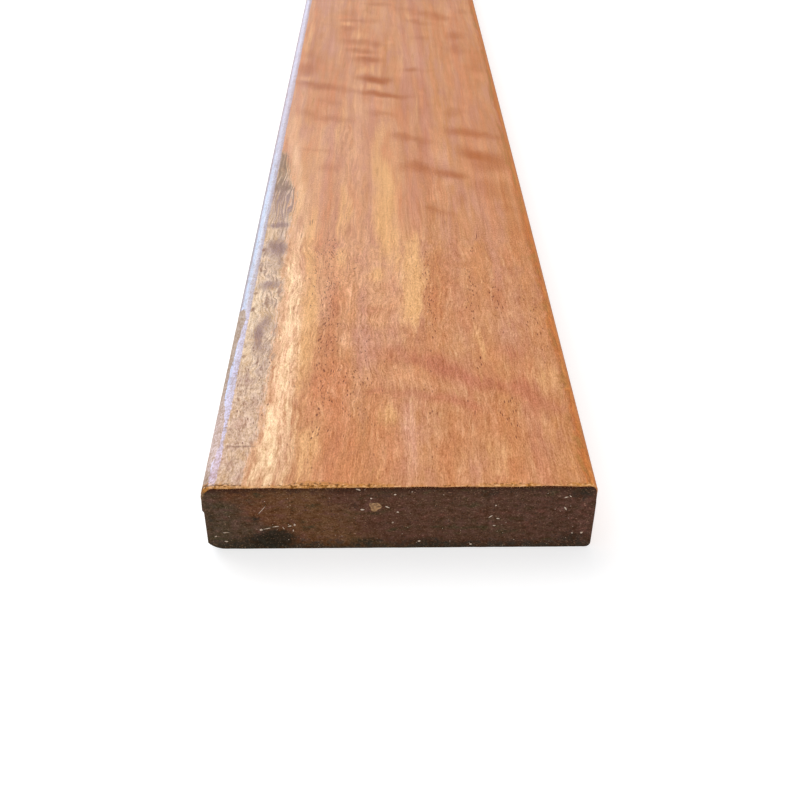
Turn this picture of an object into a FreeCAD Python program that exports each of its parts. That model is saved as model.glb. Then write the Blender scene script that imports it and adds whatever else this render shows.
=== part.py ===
"""Hardwood decking board, 90 x 19 mm dressed, cut to a stock length of 1.8 m.

One sawn and planed piece of wood. Its long edges are eased differently at each corner, and the
left edge keeps the small shoulder that the upper edge cutter leaves above the lower one.

Frame: millimetres, +Y along the grain with the cut end of the photograph at -Y, +X across the
board to the right, +Z up. The origin is the middle of the underside.
"""

import FreeCAD, Part

import math
import os

import Sketcher

NODE_NAME = "decking_board"

# Every driving dimension, in millimetres: alias, value and what it measures.
DRIVING_DIMENSIONS = (
    ("board_length", 1800.0, "cut length along the grain"),
    ("board_width", 90.0, "widest width, across the shoulder"),
    ("board_thickness", 19.0, "dressed thickness"),
    ("face_ease_left", 3.0, "pencil round where the face meets the left edge"),
    ("face_ease_right", 2.0, "pencil round where the face meets the right edge"),
    ("back_ease_right", 1.3, "small round where the underside meets the right edge"),
    ("back_ease_left_width", 4.0, "how far the lower left easing runs in under the board"),
    ("back_ease_left_height", 2.0, "how far the lower left easing runs up the left edge"),
    ("shoulder_depth", 6.9, "face down to the lower end of the upper edge cut"),
    ("shoulder_step", 0.35, "how far the lower part of the left edge is set in"),
    ("shoulder_run_out", 0.6, "height over which the set-in runs out"),
)


def make_size_sheet(document):
    """Put each driving dimension on its own row of a spreadsheet, with its alias."""
    sheet = document.addObject("Spreadsheet::Sheet", "Sizes")
    for row, (alias, value, meaning) in enumerate(DRIVING_DIMENSIONS, start=1):
        sheet.set(f"A{row}", meaning)
        sheet.set(f"B{row}", str(value))
        sheet.setAlias(f"B{row}", alias)
    document.recompute()
    return sheet


def origin_plane(body, role):
    """Return the body's own origin plane with the given role."""
    for feature in body.Origin.OriginFeatures:
        if feature.Role == role:
            return feature
    raise LookupError(f"the body has no {role}")


class SectionSketch:
    """The board's cross-section, seen from the -Y end: sketch x is +X and sketch y is +Z."""

    def __init__(self, body, sheet):
        self.sheet = sheet
        self.sketch = body.newObject("Sketcher::SketchObject", "Section")
        self.sketch.AttachmentSupport = [(origin_plane(body, "XZ_Plane"), "")]
        self.sketch.MapMode = "FlatFace"

    def size(self, alias):
        """Value of one driving dimension."""
        return float(self.sheet.get(alias))

    def line(self, start, end):
        """Add a straight edge and return its index."""
        ends = [FreeCAD.Vector(x, y, 0.0) for x, y in (start, end)]
        return self.sketch.addGeometry(Part.LineSegment(*ends), False)

    def arc(self, centre, radius, first_degrees, last_degrees):
        """Add an anticlockwise arc and return its index."""
        circle = Part.Circle(FreeCAD.Vector(*centre, 0.0), FreeCAD.Vector(0, 0, 1), radius)
        span = math.radians(first_degrees), math.radians(last_degrees)
        return self.sketch.addGeometry(Part.ArcOfCircle(circle, *span), False)

    def dimension(self, name, kind, *place, size, halved=False):
        """Add a named dimension bound to one driving size, or to half of it."""
        value = self.size(size) / 2 if halved else self.size(size)
        index = self.sketch.addConstraint(Sketcher.Constraint(kind, *place, value))
        self.sketch.renameConstraint(index, name)
        bound_to = f"Sizes.{size} / 2" if halved else f"Sizes.{size}"
        self.sketch.setExpression(f"Constraints.{name}", bound_to)

    def rule(self, kind, *place):
        """Add a constraint that has no value, such as Horizontal or Tangent."""
        self.sketch.addConstraint(Sketcher.Constraint(kind, *place))

    def draw(self):
        """Draw the outline anticlockwise from the underside and constrain it fully."""
        half = self.size("board_width") / 2
        top = self.size("board_thickness")
        left_round = self.size("face_ease_left")
        right_round = self.size("face_ease_right")
        back_round = self.size("back_ease_right")
        ease_width = self.size("back_ease_left_width")
        ease_height = self.size("back_ease_left_height")
        ease_radius = (ease_width**2 + ease_height**2) / (2 * ease_height)
        ease_start = math.degrees(math.asin((ease_radius - ease_height) / ease_radius))
        set_in = -half + self.size("shoulder_step")
        shoulder = top - self.size("shoulder_depth")
        run_out = shoulder - self.size("shoulder_run_out")

        underside = self.line((set_in + ease_width, 0.0), (half - back_round, 0.0))
        back_right = self.arc((half - back_round, back_round), back_round, 270, 360)
        right_edge = self.line((half, back_round), (half, top - right_round))
        face_right = self.arc((half - right_round, top - right_round), right_round, 0, 90)
        face = self.line((half - right_round, top), (-half + left_round, top))
        face_left = self.arc((-half + left_round, top - left_round), left_round, 90, 180)
        shoulder_edge = self.line((-half, top - left_round), (-half, shoulder))
        ramp = self.line((-half, shoulder), (set_in, run_out))
        left_edge = self.line((set_in, run_out), (set_in, ease_height))
        back_left = self.arc(
            (set_in + ease_width, ease_radius), ease_radius, 180 + ease_start, 270
        )

        start, end, centre = 1, 2, 3
        horizontal_axis, vertical_axis, origin = -1, -2, (-1, 1)

        # The underside lies on the sketch's x axis, and the flat sides are square to it.
        self.rule("PointOnObject", underside, start, horizontal_axis)
        self.rule("Horizontal", underside)
        self.rule("Horizontal", face)
        for upright in (right_edge, shoulder_edge, left_edge):
            self.rule("Vertical", upright)

        # Each pencil round runs smoothly into the flats on both of its sides.
        self.rule("Tangent", underside, end, back_right, start)
        self.rule("Tangent", back_right, end, right_edge, start)
        self.rule("Tangent", right_edge, end, face_right, start)
        self.rule("Tangent", face_right, end, face, start)
        self.rule("Tangent", face, end, face_left, start)
        self.rule("Tangent", face_left, end, shoulder_edge, start)

        # The shoulder and the set-in lower edge join at plain corners.
        self.rule("Coincident", shoulder_edge, end, ramp, start)
        self.rule("Coincident", ramp, end, left_edge, start)
        self.rule("Coincident", left_edge, end, back_left, start)
        self.rule("Tangent", back_left, end, underside, start)

        # Overall sizes, with the width shared equally about the sketch's y axis.
        self.dimension(
            "half_width_right", "DistanceX", *origin, right_edge, start,
            size="board_width", halved=True,
        )
        self.dimension(
            "half_width_left", "DistanceX", shoulder_edge, end, *origin,
            size="board_width", halved=True,
        )
        self.dimension(
            "thickness", "DistanceY", underside, end, face, start,
            size="board_thickness",
        )

        # Easings at the four corners.
        self.dimension("round_face_left", "Radius", face_left, size="face_ease_left")
        self.dimension("round_face_right", "Radius", face_right, size="face_ease_right")
        self.dimension("round_back_right", "Radius", back_right, size="back_ease_right")
        self.dimension(
            "ease_back_left_width", "DistanceX", left_edge, end, underside, start,
            size="back_ease_left_width",
        )
        self.dimension(
            "ease_back_left_height", "DistanceY", underside, start, left_edge, end,
            size="back_ease_left_height",
        )

        # Shoulder on the left edge.
        self.dimension(
            "shoulder_below_face", "DistanceY", shoulder_edge, end, face, end,
            size="shoulder_depth",
        )
        self.dimension(
            "shoulder_set_in", "DistanceX", ramp, start, ramp, end,
            size="shoulder_step",
        )
        self.dimension(
            "shoulder_ramp_height", "DistanceY", ramp, end, ramp, start,
            size="shoulder_run_out",
        )
        return self.sketch


def make_board(document, sheet):
    """Extrude the section along the grain, half the length each way from the middle."""
    body = document.addObject("PartDesign::Body", "Board")
    body.Label = NODE_NAME
    body.Placement = FreeCAD.Placement()
    sketch = SectionSketch(body, sheet).draw()
    document.recompute()
    pad = body.newObject("PartDesign::Pad", "Length")
    pad.Profile = sketch
    pad.SideType = "Symmetric"
    pad.setExpression("Length", "Sizes.board_length")
    body.Tip = pad
    document.recompute()
    return body, sketch


def check(document, body, sketch):
    """Stop if anything failed to compute, or if the section or the solid isn't sound."""
    for item in document.Objects:
        if "Invalid" in item.State or "Error" in item.State:
            raise RuntimeError(f"{item.Label} did not compute: {item.State}")
    if sketch.solve() != 0:
        raise RuntimeError("the section's constraints contradict each other")
    if not sketch.FullyConstrained:
        raise RuntimeError("the section isn't fully constrained")
    shape = body.Shape
    if shape.isNull() or not shape.isValid() or len(shape.Solids) != 1:
        raise RuntimeError(f"{body.Label} is not one valid solid")


def main():
    """Build the document, check it and write the board's STEP file."""
    document = FreeCAD.newDocument("DeckingBoard")
    sheet = make_size_sheet(document)
    body, sketch = make_board(document, sheet)
    check(document, body, sketch)
    os.makedirs("parts", exist_ok=True)
    body.Shape.exportStep(f"parts/{body.Label}.step")
    box = body.Shape.BoundBox
    print(f"{body.Label}: {box.XLength:.2f} x {box.YLength:.2f} x {box.ZLength:.2f} mm")
    print(f"volume {body.Shape.Volume:.1f} mm3, from z = {box.ZMin:.3f} to z = {box.ZMax:.3f} mm")
    return document


main()
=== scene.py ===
"""Looks of a hardwood decking board: planed faces, sapwood streak, fiddleback figure and a rough cut end.

The frame is in metres: +Y along the grain with the photographed cut end at -Y, +X across the board and
+Z up. Inside this script, sizes are in millimetres, and "along" is measured from that cut end.
"""

import logging
import math
from collections.abc import Callable
from dataclasses import dataclass, field
from enum import Enum

import bpy
import numpy as np
from mathutils import Matrix, Vector


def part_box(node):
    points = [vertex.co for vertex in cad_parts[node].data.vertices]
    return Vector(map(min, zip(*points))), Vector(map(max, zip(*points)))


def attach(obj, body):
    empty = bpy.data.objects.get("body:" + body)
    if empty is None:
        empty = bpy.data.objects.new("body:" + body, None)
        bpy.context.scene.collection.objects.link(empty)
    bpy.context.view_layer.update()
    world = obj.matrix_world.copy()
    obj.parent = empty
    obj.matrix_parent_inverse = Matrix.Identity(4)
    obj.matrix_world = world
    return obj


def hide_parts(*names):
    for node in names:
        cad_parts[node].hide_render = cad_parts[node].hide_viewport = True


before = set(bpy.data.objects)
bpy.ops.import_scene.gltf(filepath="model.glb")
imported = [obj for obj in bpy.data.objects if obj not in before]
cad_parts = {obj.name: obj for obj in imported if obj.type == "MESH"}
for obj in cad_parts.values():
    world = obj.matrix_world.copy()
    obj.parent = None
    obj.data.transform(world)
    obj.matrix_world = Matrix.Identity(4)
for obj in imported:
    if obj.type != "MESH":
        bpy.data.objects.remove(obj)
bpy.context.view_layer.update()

NODE = "decking_board"
BODY = "root"
MM = 0.001

log = logging.getLogger("decking_board")

Array = np.ndarray
Socket = bpy.types.NodeSocket
Colour = tuple[float, float, float, float]


class Strip(Enum):
    """The faces that the planer leaves round the section, in order from the face clockwise."""

    FACE = 0
    RIGHT_ROUND = 1
    RIGHT_EDGE = 2
    BACK_RIGHT_ROUND = 3
    BACK = 4
    BACK_LEFT_EASE = 5
    LEFT_EDGE = 6
    SHOULDER = 7
    LEFT_ROUND = 8


class Finish(Enum):
    """Material slots of the board's mesh."""

    PLANED = 0
    CUT_END = 1


def srgb(red: int, green: int, blue: int) -> Colour:
    """Turn a display colour linear.

    Args:
        red: red channel, from 0 to 255.
        green: green channel.
        blue: blue channel.

    Returns:
        Share / 12.92 for a share up to 0.04045, and else ((share + 0.055) / 1.055)^2.4, with alpha 1.
    """
    share = np.array([red, green, blue]) / 255.0
    linear = np.where(share <= 0.04045, share / 12.92, ((share + 0.055) / 1.055) ** 2.4)
    return (*linear.tolist(), 1.0)


def lattice_noise(seed: int, u: Array, v: Array) -> Array:
    """Smooth noise from -1 to 1.

    Each whole (u, v) holds a random number. A place between takes the blend of its four neighbours, with
    each weight eased as 3t² - 2t³.

    Args:
        seed: which table of random numbers.
        u: first coordinate, in lattice cells.
        v: second coordinate, in lattice cells.

    Returns:
        The noise at each place.
    """
    low_u, low_v = np.floor(u).astype(int), np.floor(v).astype(int)
    from_u, from_v = low_u - low_u.min(), low_v - low_v.min()
    table = np.random.default_rng(seed).uniform(-1, 1, (from_u.max() + 2, from_v.max() + 2))
    part_u, part_v = u - low_u, v - low_v
    ease_u, ease_v = part_u**2 * (3 - 2 * part_u), part_v**2 * (3 - 2 * part_v)
    near = table[from_u, from_v] * (1 - ease_u) + table[from_u + 1, from_v] * ease_u
    far = table[from_u, from_v + 1] * (1 - ease_u) + table[from_u + 1, from_v + 1] * ease_u
    return near * (1 - ease_v) + far * ease_v


def ease(value: Array, low: float, high: float) -> Array:
    """0 up to low, 1 from high, and 3t² - 2t³ between."""
    part = np.clip((value - low) / (high - low), 0, 1)
    return part**2 * (3 - 2 * part)


@dataclass
class Surface:
    """A mesh as whole arrays, before it goes into Blender."""

    vertices: Array
    quads: Array
    triangles: Array = field(default_factory=lambda: np.empty((0, 3), int))

    def to_object(self, name: str, smooth: bool = False) -> bpy.types.Object:
        """Make a Blender object of it.

        Args:
            name: the piece's name.
            smooth: True if its faces are shaded smooth.

        Returns:
            The object, at the origin, with its place in its mesh.
        """
        mesh = bpy.data.meshes.new(name)
        corners = np.concatenate([self.quads.ravel(), self.triangles.ravel()]).astype(np.int32)
        counts = np.r_[np.full(len(self.quads), 4), np.full(len(self.triangles), 3)]
        starts = (np.cumsum(counts) - counts).astype(np.int32)
        mesh.vertices.add(len(self.vertices))
        mesh.vertices.foreach_set("co", (self.vertices * MM).astype(np.float32).ravel())
        mesh.loops.add(len(corners))
        mesh.loops.foreach_set("vertex_index", corners)
        mesh.polygons.add(len(counts))
        mesh.polygons.foreach_set("loop_start", starts)
        if smooth:
            mesh.polygons.foreach_set("use_smooth", np.ones(len(counts), bool))
        mesh.update(calc_edges=True)
        piece = bpy.data.objects.new(name, mesh)
        bpy.context.scene.collection.objects.link(piece)
        return piece


def dress(piece: bpy.types.Object, *materials: bpy.types.Material) -> bpy.types.Object:
    """Give a piece its materials and its body.

    Args:
        piece: a finished piece.
        materials: its materials, in the order of its slots.

    Returns:
        The piece.
    """
    for material in materials:
        piece.data.materials.append(material)
    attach(piece, BODY)
    return piece


@dataclass(frozen=True)
class Section:
    """The board's cross-section, seen from the photographed end, in millimetres.

    Width and thickness come from the frame. The easings are those of the CAD section.
    """

    half_width: float
    thickness: float
    left_round: float = 3.0
    right_round: float = 2.0
    back_right_round: float = 1.3
    back_left_width: float = 4.0
    back_left_height: float = 2.0
    shoulder_depth: float = 6.9
    shoulder_step: float = 0.35
    shoulder_run_out: float = 0.6
    columns: int = 68

    @staticmethod
    def arc(middle: tuple[float, float], radius: float, first: float, last: float, steps: int) -> Array:
        """Points on an arc from one angle to another, in degrees, without its first point."""
        turn = np.radians(np.linspace(first, last, steps + 1)[1:])
        return np.c_[middle[0] + radius * np.cos(turn), middle[1] + radius * np.sin(turn)]

    @staticmethod
    def run(start: tuple[float, float], end: tuple[float, float], steps: int) -> Array:
        """Evenly spaced points from start to end, without its first point."""
        share = np.linspace(0, 1, steps + 1)[1:, None]
        return np.array(start) * (1 - share) + np.array(end) * share

    def outline(self) -> tuple[Array, Array]:
        """Walk round the section from the left end of the face, across it and back underneath.

        Returns:
            The points as (x, z), and the Strip number of each.
        """
        top, half = self.thickness, self.half_width
        left_middle = (-half + self.left_round, top - self.left_round)
        right_middle = (half - self.right_round, top - self.right_round)
        back_right_middle = (half - self.back_right_round, self.back_right_round)
        set_in = -half + self.shoulder_step
        ease_radius = (self.back_left_width**2 + self.back_left_height**2) / (2 * self.back_left_height)
        ease_middle = (set_in + self.back_left_width, ease_radius)
        ease_turn = math.degrees(math.acos((ease_radius - self.back_left_height) / ease_radius))
        shoulder = top - self.shoulder_depth
        run_out = shoulder - self.shoulder_run_out
        face_left, face_right = (left_middle[0], top), (right_middle[0], top)
        strips = (
            (Strip.FACE, np.vstack([[face_left], self.run(face_left, face_right, self.columns)])),
            (Strip.RIGHT_ROUND, self.arc(right_middle, self.right_round, 90, 0, 7)),
            (Strip.RIGHT_EDGE, self.run((half, right_middle[1]), (half, self.back_right_round), 9)),
            (Strip.BACK_RIGHT_ROUND, self.arc(back_right_middle, self.back_right_round, 0, -90, 4)),
            (Strip.BACK, self.run((back_right_middle[0], 0.0), (ease_middle[0], 0.0), self.columns)),
            (Strip.BACK_LEFT_EASE, self.arc(ease_middle, ease_radius, -90, -90 - ease_turn, 6)),
            (Strip.LEFT_EDGE, self.run((set_in, self.back_left_height), (set_in, run_out), 6)),
            (Strip.SHOULDER, self.run((set_in, run_out), (-half, shoulder), 1)),
            (Strip.SHOULDER, self.run((-half, shoulder), (-half, left_middle[1]), 3)),
            (Strip.LEFT_ROUND, self.arc(left_middle, self.left_round, 180, 90, 10)[:-1]),
        )
        points = np.vstack([place for _, place in strips])
        names = np.concatenate([np.full(len(place), strip.value) for strip, place in strips])
        return points, names

    def outward(self, points: Array) -> Array:
        """Find the normals of the closed outline.

        Args:
            points: the outline, as (x, z).

        Returns:
            Unit normals: the chord between each point's neighbours, turned outwards.
        """
        chord = np.roll(points, -1, axis=0) - np.roll(points, 1, axis=0)
        normal = np.c_[-chord[:, 1], chord[:, 0]]
        return normal / np.linalg.norm(normal, axis=1, keepdims=True)


@dataclass(frozen=True)
class Mark:
    """A soft patch of figure on the face, as an ellipse. Places and sizes are in millimetres."""

    across: float
    along: float
    width: float
    length: float
    fall: float = 0.0
    weight: float = 1.0

    def at(self, across: Array, along: Array) -> Array:
        """Weigh the mark at each place.

        Args:
            across: x of each place.
            along: distance of each place from the photographed end.

        Returns:
            Weight × exp(-r³), where r is 1 on the ellipse, whose sides fall to the right.
        """
        turn = math.radians(self.fall)
        over, up = across - self.across, along - self.along
        u = (over * math.cos(turn) - up * math.sin(turn)) / (self.width / 2)
        v = (over * math.sin(turn) + up * math.cos(turn)) / (self.length / 2)
        return self.weight * np.exp(-((u**2 + v**2) ** 1.5))


def marks(*rows: tuple[float, ...]) -> tuple[Mark, ...]:
    """Marks from rows of x, along, width, length, fall and weight."""
    return tuple(Mark(*row) for row in rows)


def sum_of(group: tuple[Mark, ...], across: Array, along: Array) -> Array:
    """Total weight of several marks at each place."""
    return sum((mark.at(across, along) for mark in group), np.zeros(across.shape))


# Every row of marks below is x, along, width, length, fall and weight.

# Dark bars of the fiddleback figure, and lighter patches between them with a weight below 0.
BARS = marks(
    (-7, 386, 14, 8, 14, 0.7), (8, 377, 11, 8, 28, 0.45), (15, 371.5, 9.9, 9.5, 20, 0.4),
    (20.5, 369, 10, 9, 24, 0.45), (25, 362.5, 13, 11, 20, 0.6), (-22, 371, 8.8, 9.5, 0, 0.35),
    (12, 356.5, 9.9, 8.1, 24, 0.5), (17.5, 352, 7.7, 6.8, 20, 0.35), (-20, 357.5, 13.2, 6.1, 8, 0.6),
    (-11, 356, 11, 8.1, 10, 0.4), (-21, 344.5, 8.8, 8.1, 0, 0.45), (15.5, 329, 8.8, 8.1, 16, 0.4),
    (32, 332, 9, 13, 0, 0.3), (-33.5, 332, 3, 10, 0, 0.4), (-14, 322, 18.7, 9.5, 10, 0.65),
    (-6.5, 317.5, 5, 9, 0, 0.5), (-12.5, 308.5, 12.1, 6.1, 16, 0.8), (-18, 311.5, 6.6, 4.7, 16, 0.4),
    (-37, 304, 5, 12, 0, 0.6), (40, 300, 7, 24, 0, 0.45), (-10, 296.5, 14.3, 9.5, 20, 1.1),
    (9, 283, 6.6, 6.1, 20, 0.9), (16, 281.5, 8.8, 5.4, 4, 0.3), (38, 284, 9, 16, 0, 0.35),
    (-38, 283, 8, 16, 0, 0.8), (-5, 268.5, 12.1, 9.5, 28, 1.4), (-11, 272, 8.8, 8.1, 28, 0.7),
    (-29, 261, 16.5, 9.5, 20, 1.1), (-37, 266.5, 8.8, 6.8, 30, 0.6), (-19, 256, 9.9, 6.8, 24, 0.45),
    (-5, 251.5, 15.4, 7.4, 20, 1.35), (4.5, 248, 11, 6.1, 14, 0.6), (-26, 243.5, 11, 8.1, 26, 0.5),
    (-4, 229, 12.1, 6.8, 24, 0.55), (-33, 230.5, 9.9, 8.1, 30, 0.5), (-24.5, 223.5, 15.4, 6.8, 12, 0.6),
    (24.5, 230, 9, 12, 20, 0.6), (27.5, 209.5, 14.3, 8.8, 22, 1.0), (37, 204.5, 13.2, 6.8, 20, 0.75),
    (4, 204.5, 11, 6.8, 22, 0.8), (11.5, 200.5, 9.9, 5.4, 18, 0.55), (-29, 192, 15.4, 3.4, 8, 0.35),
    (27, 194, 6.6, 6.8, 20, 0.4), (31, 187.5, 13, 10, 26, 1.3), (35, 177.5, 16, 13, 20, 0.85),
    (39, 184, 8, 10, 0, 0.45), (8, 177, 9.9, 10.1, 30, 0.9), (13, 173, 7.7, 8.1, 30, 0.4),
    (20.5, 169.5, 13, 7.4, 22, 1.1), (-23.5, 176, 8.8, 6.8, 0, 0.45), (34, 159, 12, 12, 26, 0.55),
    (37, 151, 10, 10, 0, 0.4), (22.5, 149, 4.5, 12, 0, 0.5), (13.5, 141, 7, 4.5, 24, 0.7),
    (18, 138, 6, 5, 28, 0.45), (37.5, 142, 9, 7, 0, 0.5), (21, 103.5, 8, 4, 0, 0.35),
    (12, 104, 7, 10, 0, 0.35), (29.5, 82, 5, 14, 0, 0.5), (-6.5, 76, 8, 5, 0, 0.4),
    (30.5, 55, 8, 7, 30, 0.5), (0.5, 53, 15, 9, 10, 0.5), (10, 48.5, 12, 10, 30, 0.68),
    (15.5, 44, 10, 8, 30, 0.5), (22, 40.5, 13, 6.5, 18, 0.6), (4, 35.5, 11, 5, 8, 0.6),
    (12.5, 33.5, 8, 4.5, 10, 0.55), (18.5, 31, 9, 4, 16, 0.5), (-5.5, 36.6, 7, 2, 2, 0.5),
    (32, 37.5, 11, 9, 35, 0.6), (36.5, 31, 8, 6, 35, 0.55), (31, 332, 9, 16, 0, 0.5),
    (31, 311, 9, 16, 0, 0.55), (37, 372, 5, 10, 0, 0.45), (-20, 343, 6, 10, 0, 0.3),
    (-34, 296, 6, 14, 0, 0.5), (31, 375, 6, 20, 0, -0.35), (11.5, 361.5, 5, 6, 0, -0.4),
    (-21, 351, 5, 6, 0, -0.6), (-14, 331, 9, 9, 0, -0.35), (-1, 322, 5, 6, 0, -0.9),
    (-14, 314.5, 9, 3.5, 8, -0.4), (-13.5, 303, 10, 4, 10, -0.5), (-11, 282, 8, 12, 0, -0.45),
    (5.5, 276, 5, 11, 0, -0.4), (-37, 271.5, 7, 7, 0, -0.5), (-9.5, 261.5, 10, 9, 10, -0.6),
    (-5, 246, 5, 4, 0, -0.6), (-7.5, 237.5, 9, 9, 0, -0.5), (11, 187, 4, 14, 0, -0.5),
    (17.5, 186, 8, 14, 0, -0.55), (18.5, 162.5, 5, 7, 30, -0.8), (14, 150, 3, 8, 0, -0.45),
    (21.5, 111, 6, 9, 0, -0.5), (31, 105, 3, 26, -4, -0.6), (-4.5, 82, 7, 6, 0, -0.4),
    (-5, 71, 6, 6, 0, -0.4), (2, 43, 10, 9, 10, -0.95), (3.5, 18, 5, 36, 0, -0.8),
    (-13.2, 60, 2.4, 14, 0, -1.2), (-14, 84, 2.4, 28, -4, -1.1), (-0.5, 74, 2, 26, 0, -0.7),
    (14, 84, 9, 34, 0, 0.14),
)

# Lighter wood added to the light side, or taken away where the weight is below 0.
LIGHTS = marks(
    (8, 320, 14, 60, 0, 0.12), (-38, 220, 7, 50, 0, 0.5), (-26, 320, 22, 130, 0, -0.5),
    (-33, 330, 10, 150, 0, -0.6), (-11, 310, 14, 60, 0, -0.35), (-16.5, 235, 5, 70, 0, -0.5),
    (-11.5, 170, 4, 70, 0, -0.6), (7.5, 152, 4, 44, 0, -0.6), (-22.5, 150, 5, 80, 0, -0.45),
    (-12, 70, 7, 60, 0, -0.25), (-1, 80, 16, 46, 0, 0.35), (17, 190, 10, 40, 0, 0.35),
)

# Golden patches.
GOLD = marks(
    (-5.6, 178, 8, 36, 0, 0.62), (-3.2, 152, 7.6, 50, 4, 1.0), (-2.4, 125, 7.6, 38, 0, 0.8),
    (3.6, 114, 11, 38, 0, 0.5), (7.5, 118, 3, 24, 0, 0.5), (6.2, 90, 7.4, 42, 0, 0.85),
    (4.5, 74, 8, 30, 0, 0.42), (-16.6, 138, 5.4, 52, 0, 0.8), (-28, 160, 9, 90, 0, 0.42),
    (-17.5, 107, 5, 14, 0, 0.6), (-5.5, 97, 5, 9, 0, 0.75), (22.4, 60, 2.6, 22, -6, 0.8),
    (-24.3, 68, 6, 76, 0, 0.95), (-27, 116, 5, 50, 0, 0.75), (-22.5, 12, 8, 30, 0, 0.7),
    (-33.5, 136, 3, 50, 4, 0.6), (23, 10, 7, 18, 0, 0.45), (38, 42, 9, 16, 0, 0.45),
    (-1.5, 27, 8, 9, 0, 0.6), (-20, 222, 4, 60, 0, 0.6), (-38.5, 214, 6, 40, 0, 0.5),
    (9.5, 222, 2.6, 60, 0, 0.5), (-5.5, 205, 5, 26, 0, 0.5), (-21, 351, 7, 9, 0, 0.45),
    (-15, 334, 9, 20, 0, 0.35), (-11, 282, 8, 14, 0, 0.5), (-10, 261.5, 10, 10, 0, 0.4),
    (-39.5, 318, 5, 60, 0, 0.55), (-37.5, 271.5, 7, 8, 0, 0.45), (-38, 358, 6, 50, 0, 0.3),
    (4.5, 300, 7, 50, 0, 0.16), (-22, 300, 6, 50, 0, 0.16),
)

# Grey-violet stains in the sapwood.
STAINS = marks(
    (-39.8, 172, 5.5, 42, 6, 0.85), (-40.8, 184, 3, 22, 6, 0.45), (-38.4, 158.5, 9, 4.5, 4, 0.7),
    (-37.2, 146, 8, 34, 0, 0.6), (-37.4, 129.5, 10, 4, 4, 0.65), (-37, 114, 6, 13, 0, 0.9),
    (-37, 103, 7, 9, 0, 0.4), (-37.5, 91, 8, 6, 0, 0.7), (-36, 69, 5, 14, 10, 0.6),
    (-37.5, 60, 4, 16, -10, 0.7),
)

# Lines of open pores.
PORE_LINES = marks(
    (-19.8, 62, 2.6, 130, 0, 1.1), (-18.2, 82, 2.6, 40, 0, 0.6), (-17, 48, 4, 60, 0, 0.5),
    (-24.5, 94, 3, 30, 0, 0.5), (-12.5, 36, 4, 40, 0, 0.6), (-12.4, 106, 2.6, 14, 0, 0.9),
    (-8, 44, 6, 40, 0, 0.4), (10.2, 84, 2.8, 44, 0, 1.3), (9.8, 108, 2.8, 10, 0, 0.6),
    (9.4, 136, 2.8, 20, 0, 0.4), (22, 86, 3.4, 34, 0, 1.0), (22.2, 48, 2.8, 14, 0, 0.8),
    (29, 86, 6, 34, 0, 0.7), (27, 26, 6, 22, 0, 0.7), (24.5, 119, 6, 24, 0, 0.5),
    (38, 70, 7, 50, 0, 0.5), (15, 30, 26, 12, 10, 0.3), (-36, 38, 9, 50, 0, 0.4),
    (-21, 112, 6, 24, 0, 0.4),
)

# Orange wood, and lilac wood where the weight is below 0.
WARMTH = marks(
    (-17.5, 36, 8, 74, 0, 0.7), (-13, 18, 7, 52, 0, 0.75), (-12, 47, 4, 30, 0, 0.6),
    (31, 24, 16, 60, 0, 0.4), (13, 12, 9, 26, 0, 0.6), (-3, 12, 8, 24, 0, 0.4),
    (-9.5, 62, 5, 70, 0, -1.0), (-3, 60, 9, 14, 0, -0.6), (2.5, 22, 4, 34, 0, -0.6),
    (10, 24, 6, 14, 0, -0.45), (30, 66, 8, 24, 0, -0.5), (-17, 86, 4, 50, 0, 0.5),
    (14, 92, 7, 70, 0, 0.35), (11, 120, 4, 34, 0, -0.8), (-22.5, 148, 4, 70, 0, 0.35),
    (-9.5, 130, 4, 50, 0, -0.6), (2.5, 148, 4, 40, 0, 0.5), (0, 190, 4, 36, 0, -0.7),
    (-25.5, 205, 7, 26, 0, -0.9), (-30, 160, 5, 60, 0, -0.3), (-15, 238, 9, 60, 0, -0.35),
    (26, 140, 8, 60, 0, -0.4), (-27, 250, 12, 40, 0, 0.5), (-30, 292, 8, 40, 0, 0.6),
    (-38, 284, 7, 22, 0, 0.9), (-32, 284, 6, 22, 0, 0.4), (-38.5, 330, 5, 60, 0, 0.7),
    (-27, 314, 4, 36, 0, -0.8), (-32, 350, 4, 60, 0, -0.5), (-23, 364, 9, 7, 0, 0.7),
    (3, 222, 8, 40, 0, 0.35), (12, 300, 5, 40, 0, -0.5), (-1, 340, 8, 90, 0, -0.3),
    (26, 330, 12, 80, 0, 0.3), (20, 262, 7, 50, 0, 0.3),
)

# Right side of the sapwood: distance from the photographed end, and x.
# It runs out of the left edge at 195 mm.
SAPWOOD_EDGE = (
    (0, -34.4), (12, -33.6), (25, -32.6), (50, -32.0), (75, -32.0), (100, -32.8), (125, -33.0), (148, -33.1),
    (160, -34.3), (175, -36.7), (188, -39.6), (200, -43.0), (230, -52.0), (760, -52.0), (980, -36.0),
    (1290, -36.0), (1480, -52.0), (1800, -52.0),
)

# The pale band right of the sapwood: distance from the photographed end, middle, half width and strength.
CREAM_BAND = (
    (0, -30.4, 7.4, 0.5), (14, -29.9, 5.6, 0.68), (24, -29.9, 4.0, 0.9), (36, -29.5, 3.5, 0.98),
    (60, -29.5, 3.2, 0.95), (95, -30.1, 3.0, 0.85), (110, -30.9, 3.2, 0.62), (130, -31.0, 4.0, 0.42),
    (150, -31.6, 4.0, 0.4), (167, -33.8, 2.6, 0.5), (182, -35.6, 2.4, 0.6), (205, -38.6, 3.0, 0.45),
    (235, -38.6, 3.0, 0.2), (260, -38.0, 3.0, 0.0), (1800, -37.0, 3.0, 0.0),
)

# Curly grain in the heartwood.
CURLS = marks(
    (-15, 130, 18, 170, 0, 0.85), (13, 100, 12, 100, 0, 0.7), (-8, 60, 16, 70, 0, 0.5),
    (-22, 205, 16, 50, 0, 0.6), (14, 152, 8, 24, 0, 0.8),
)

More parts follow.
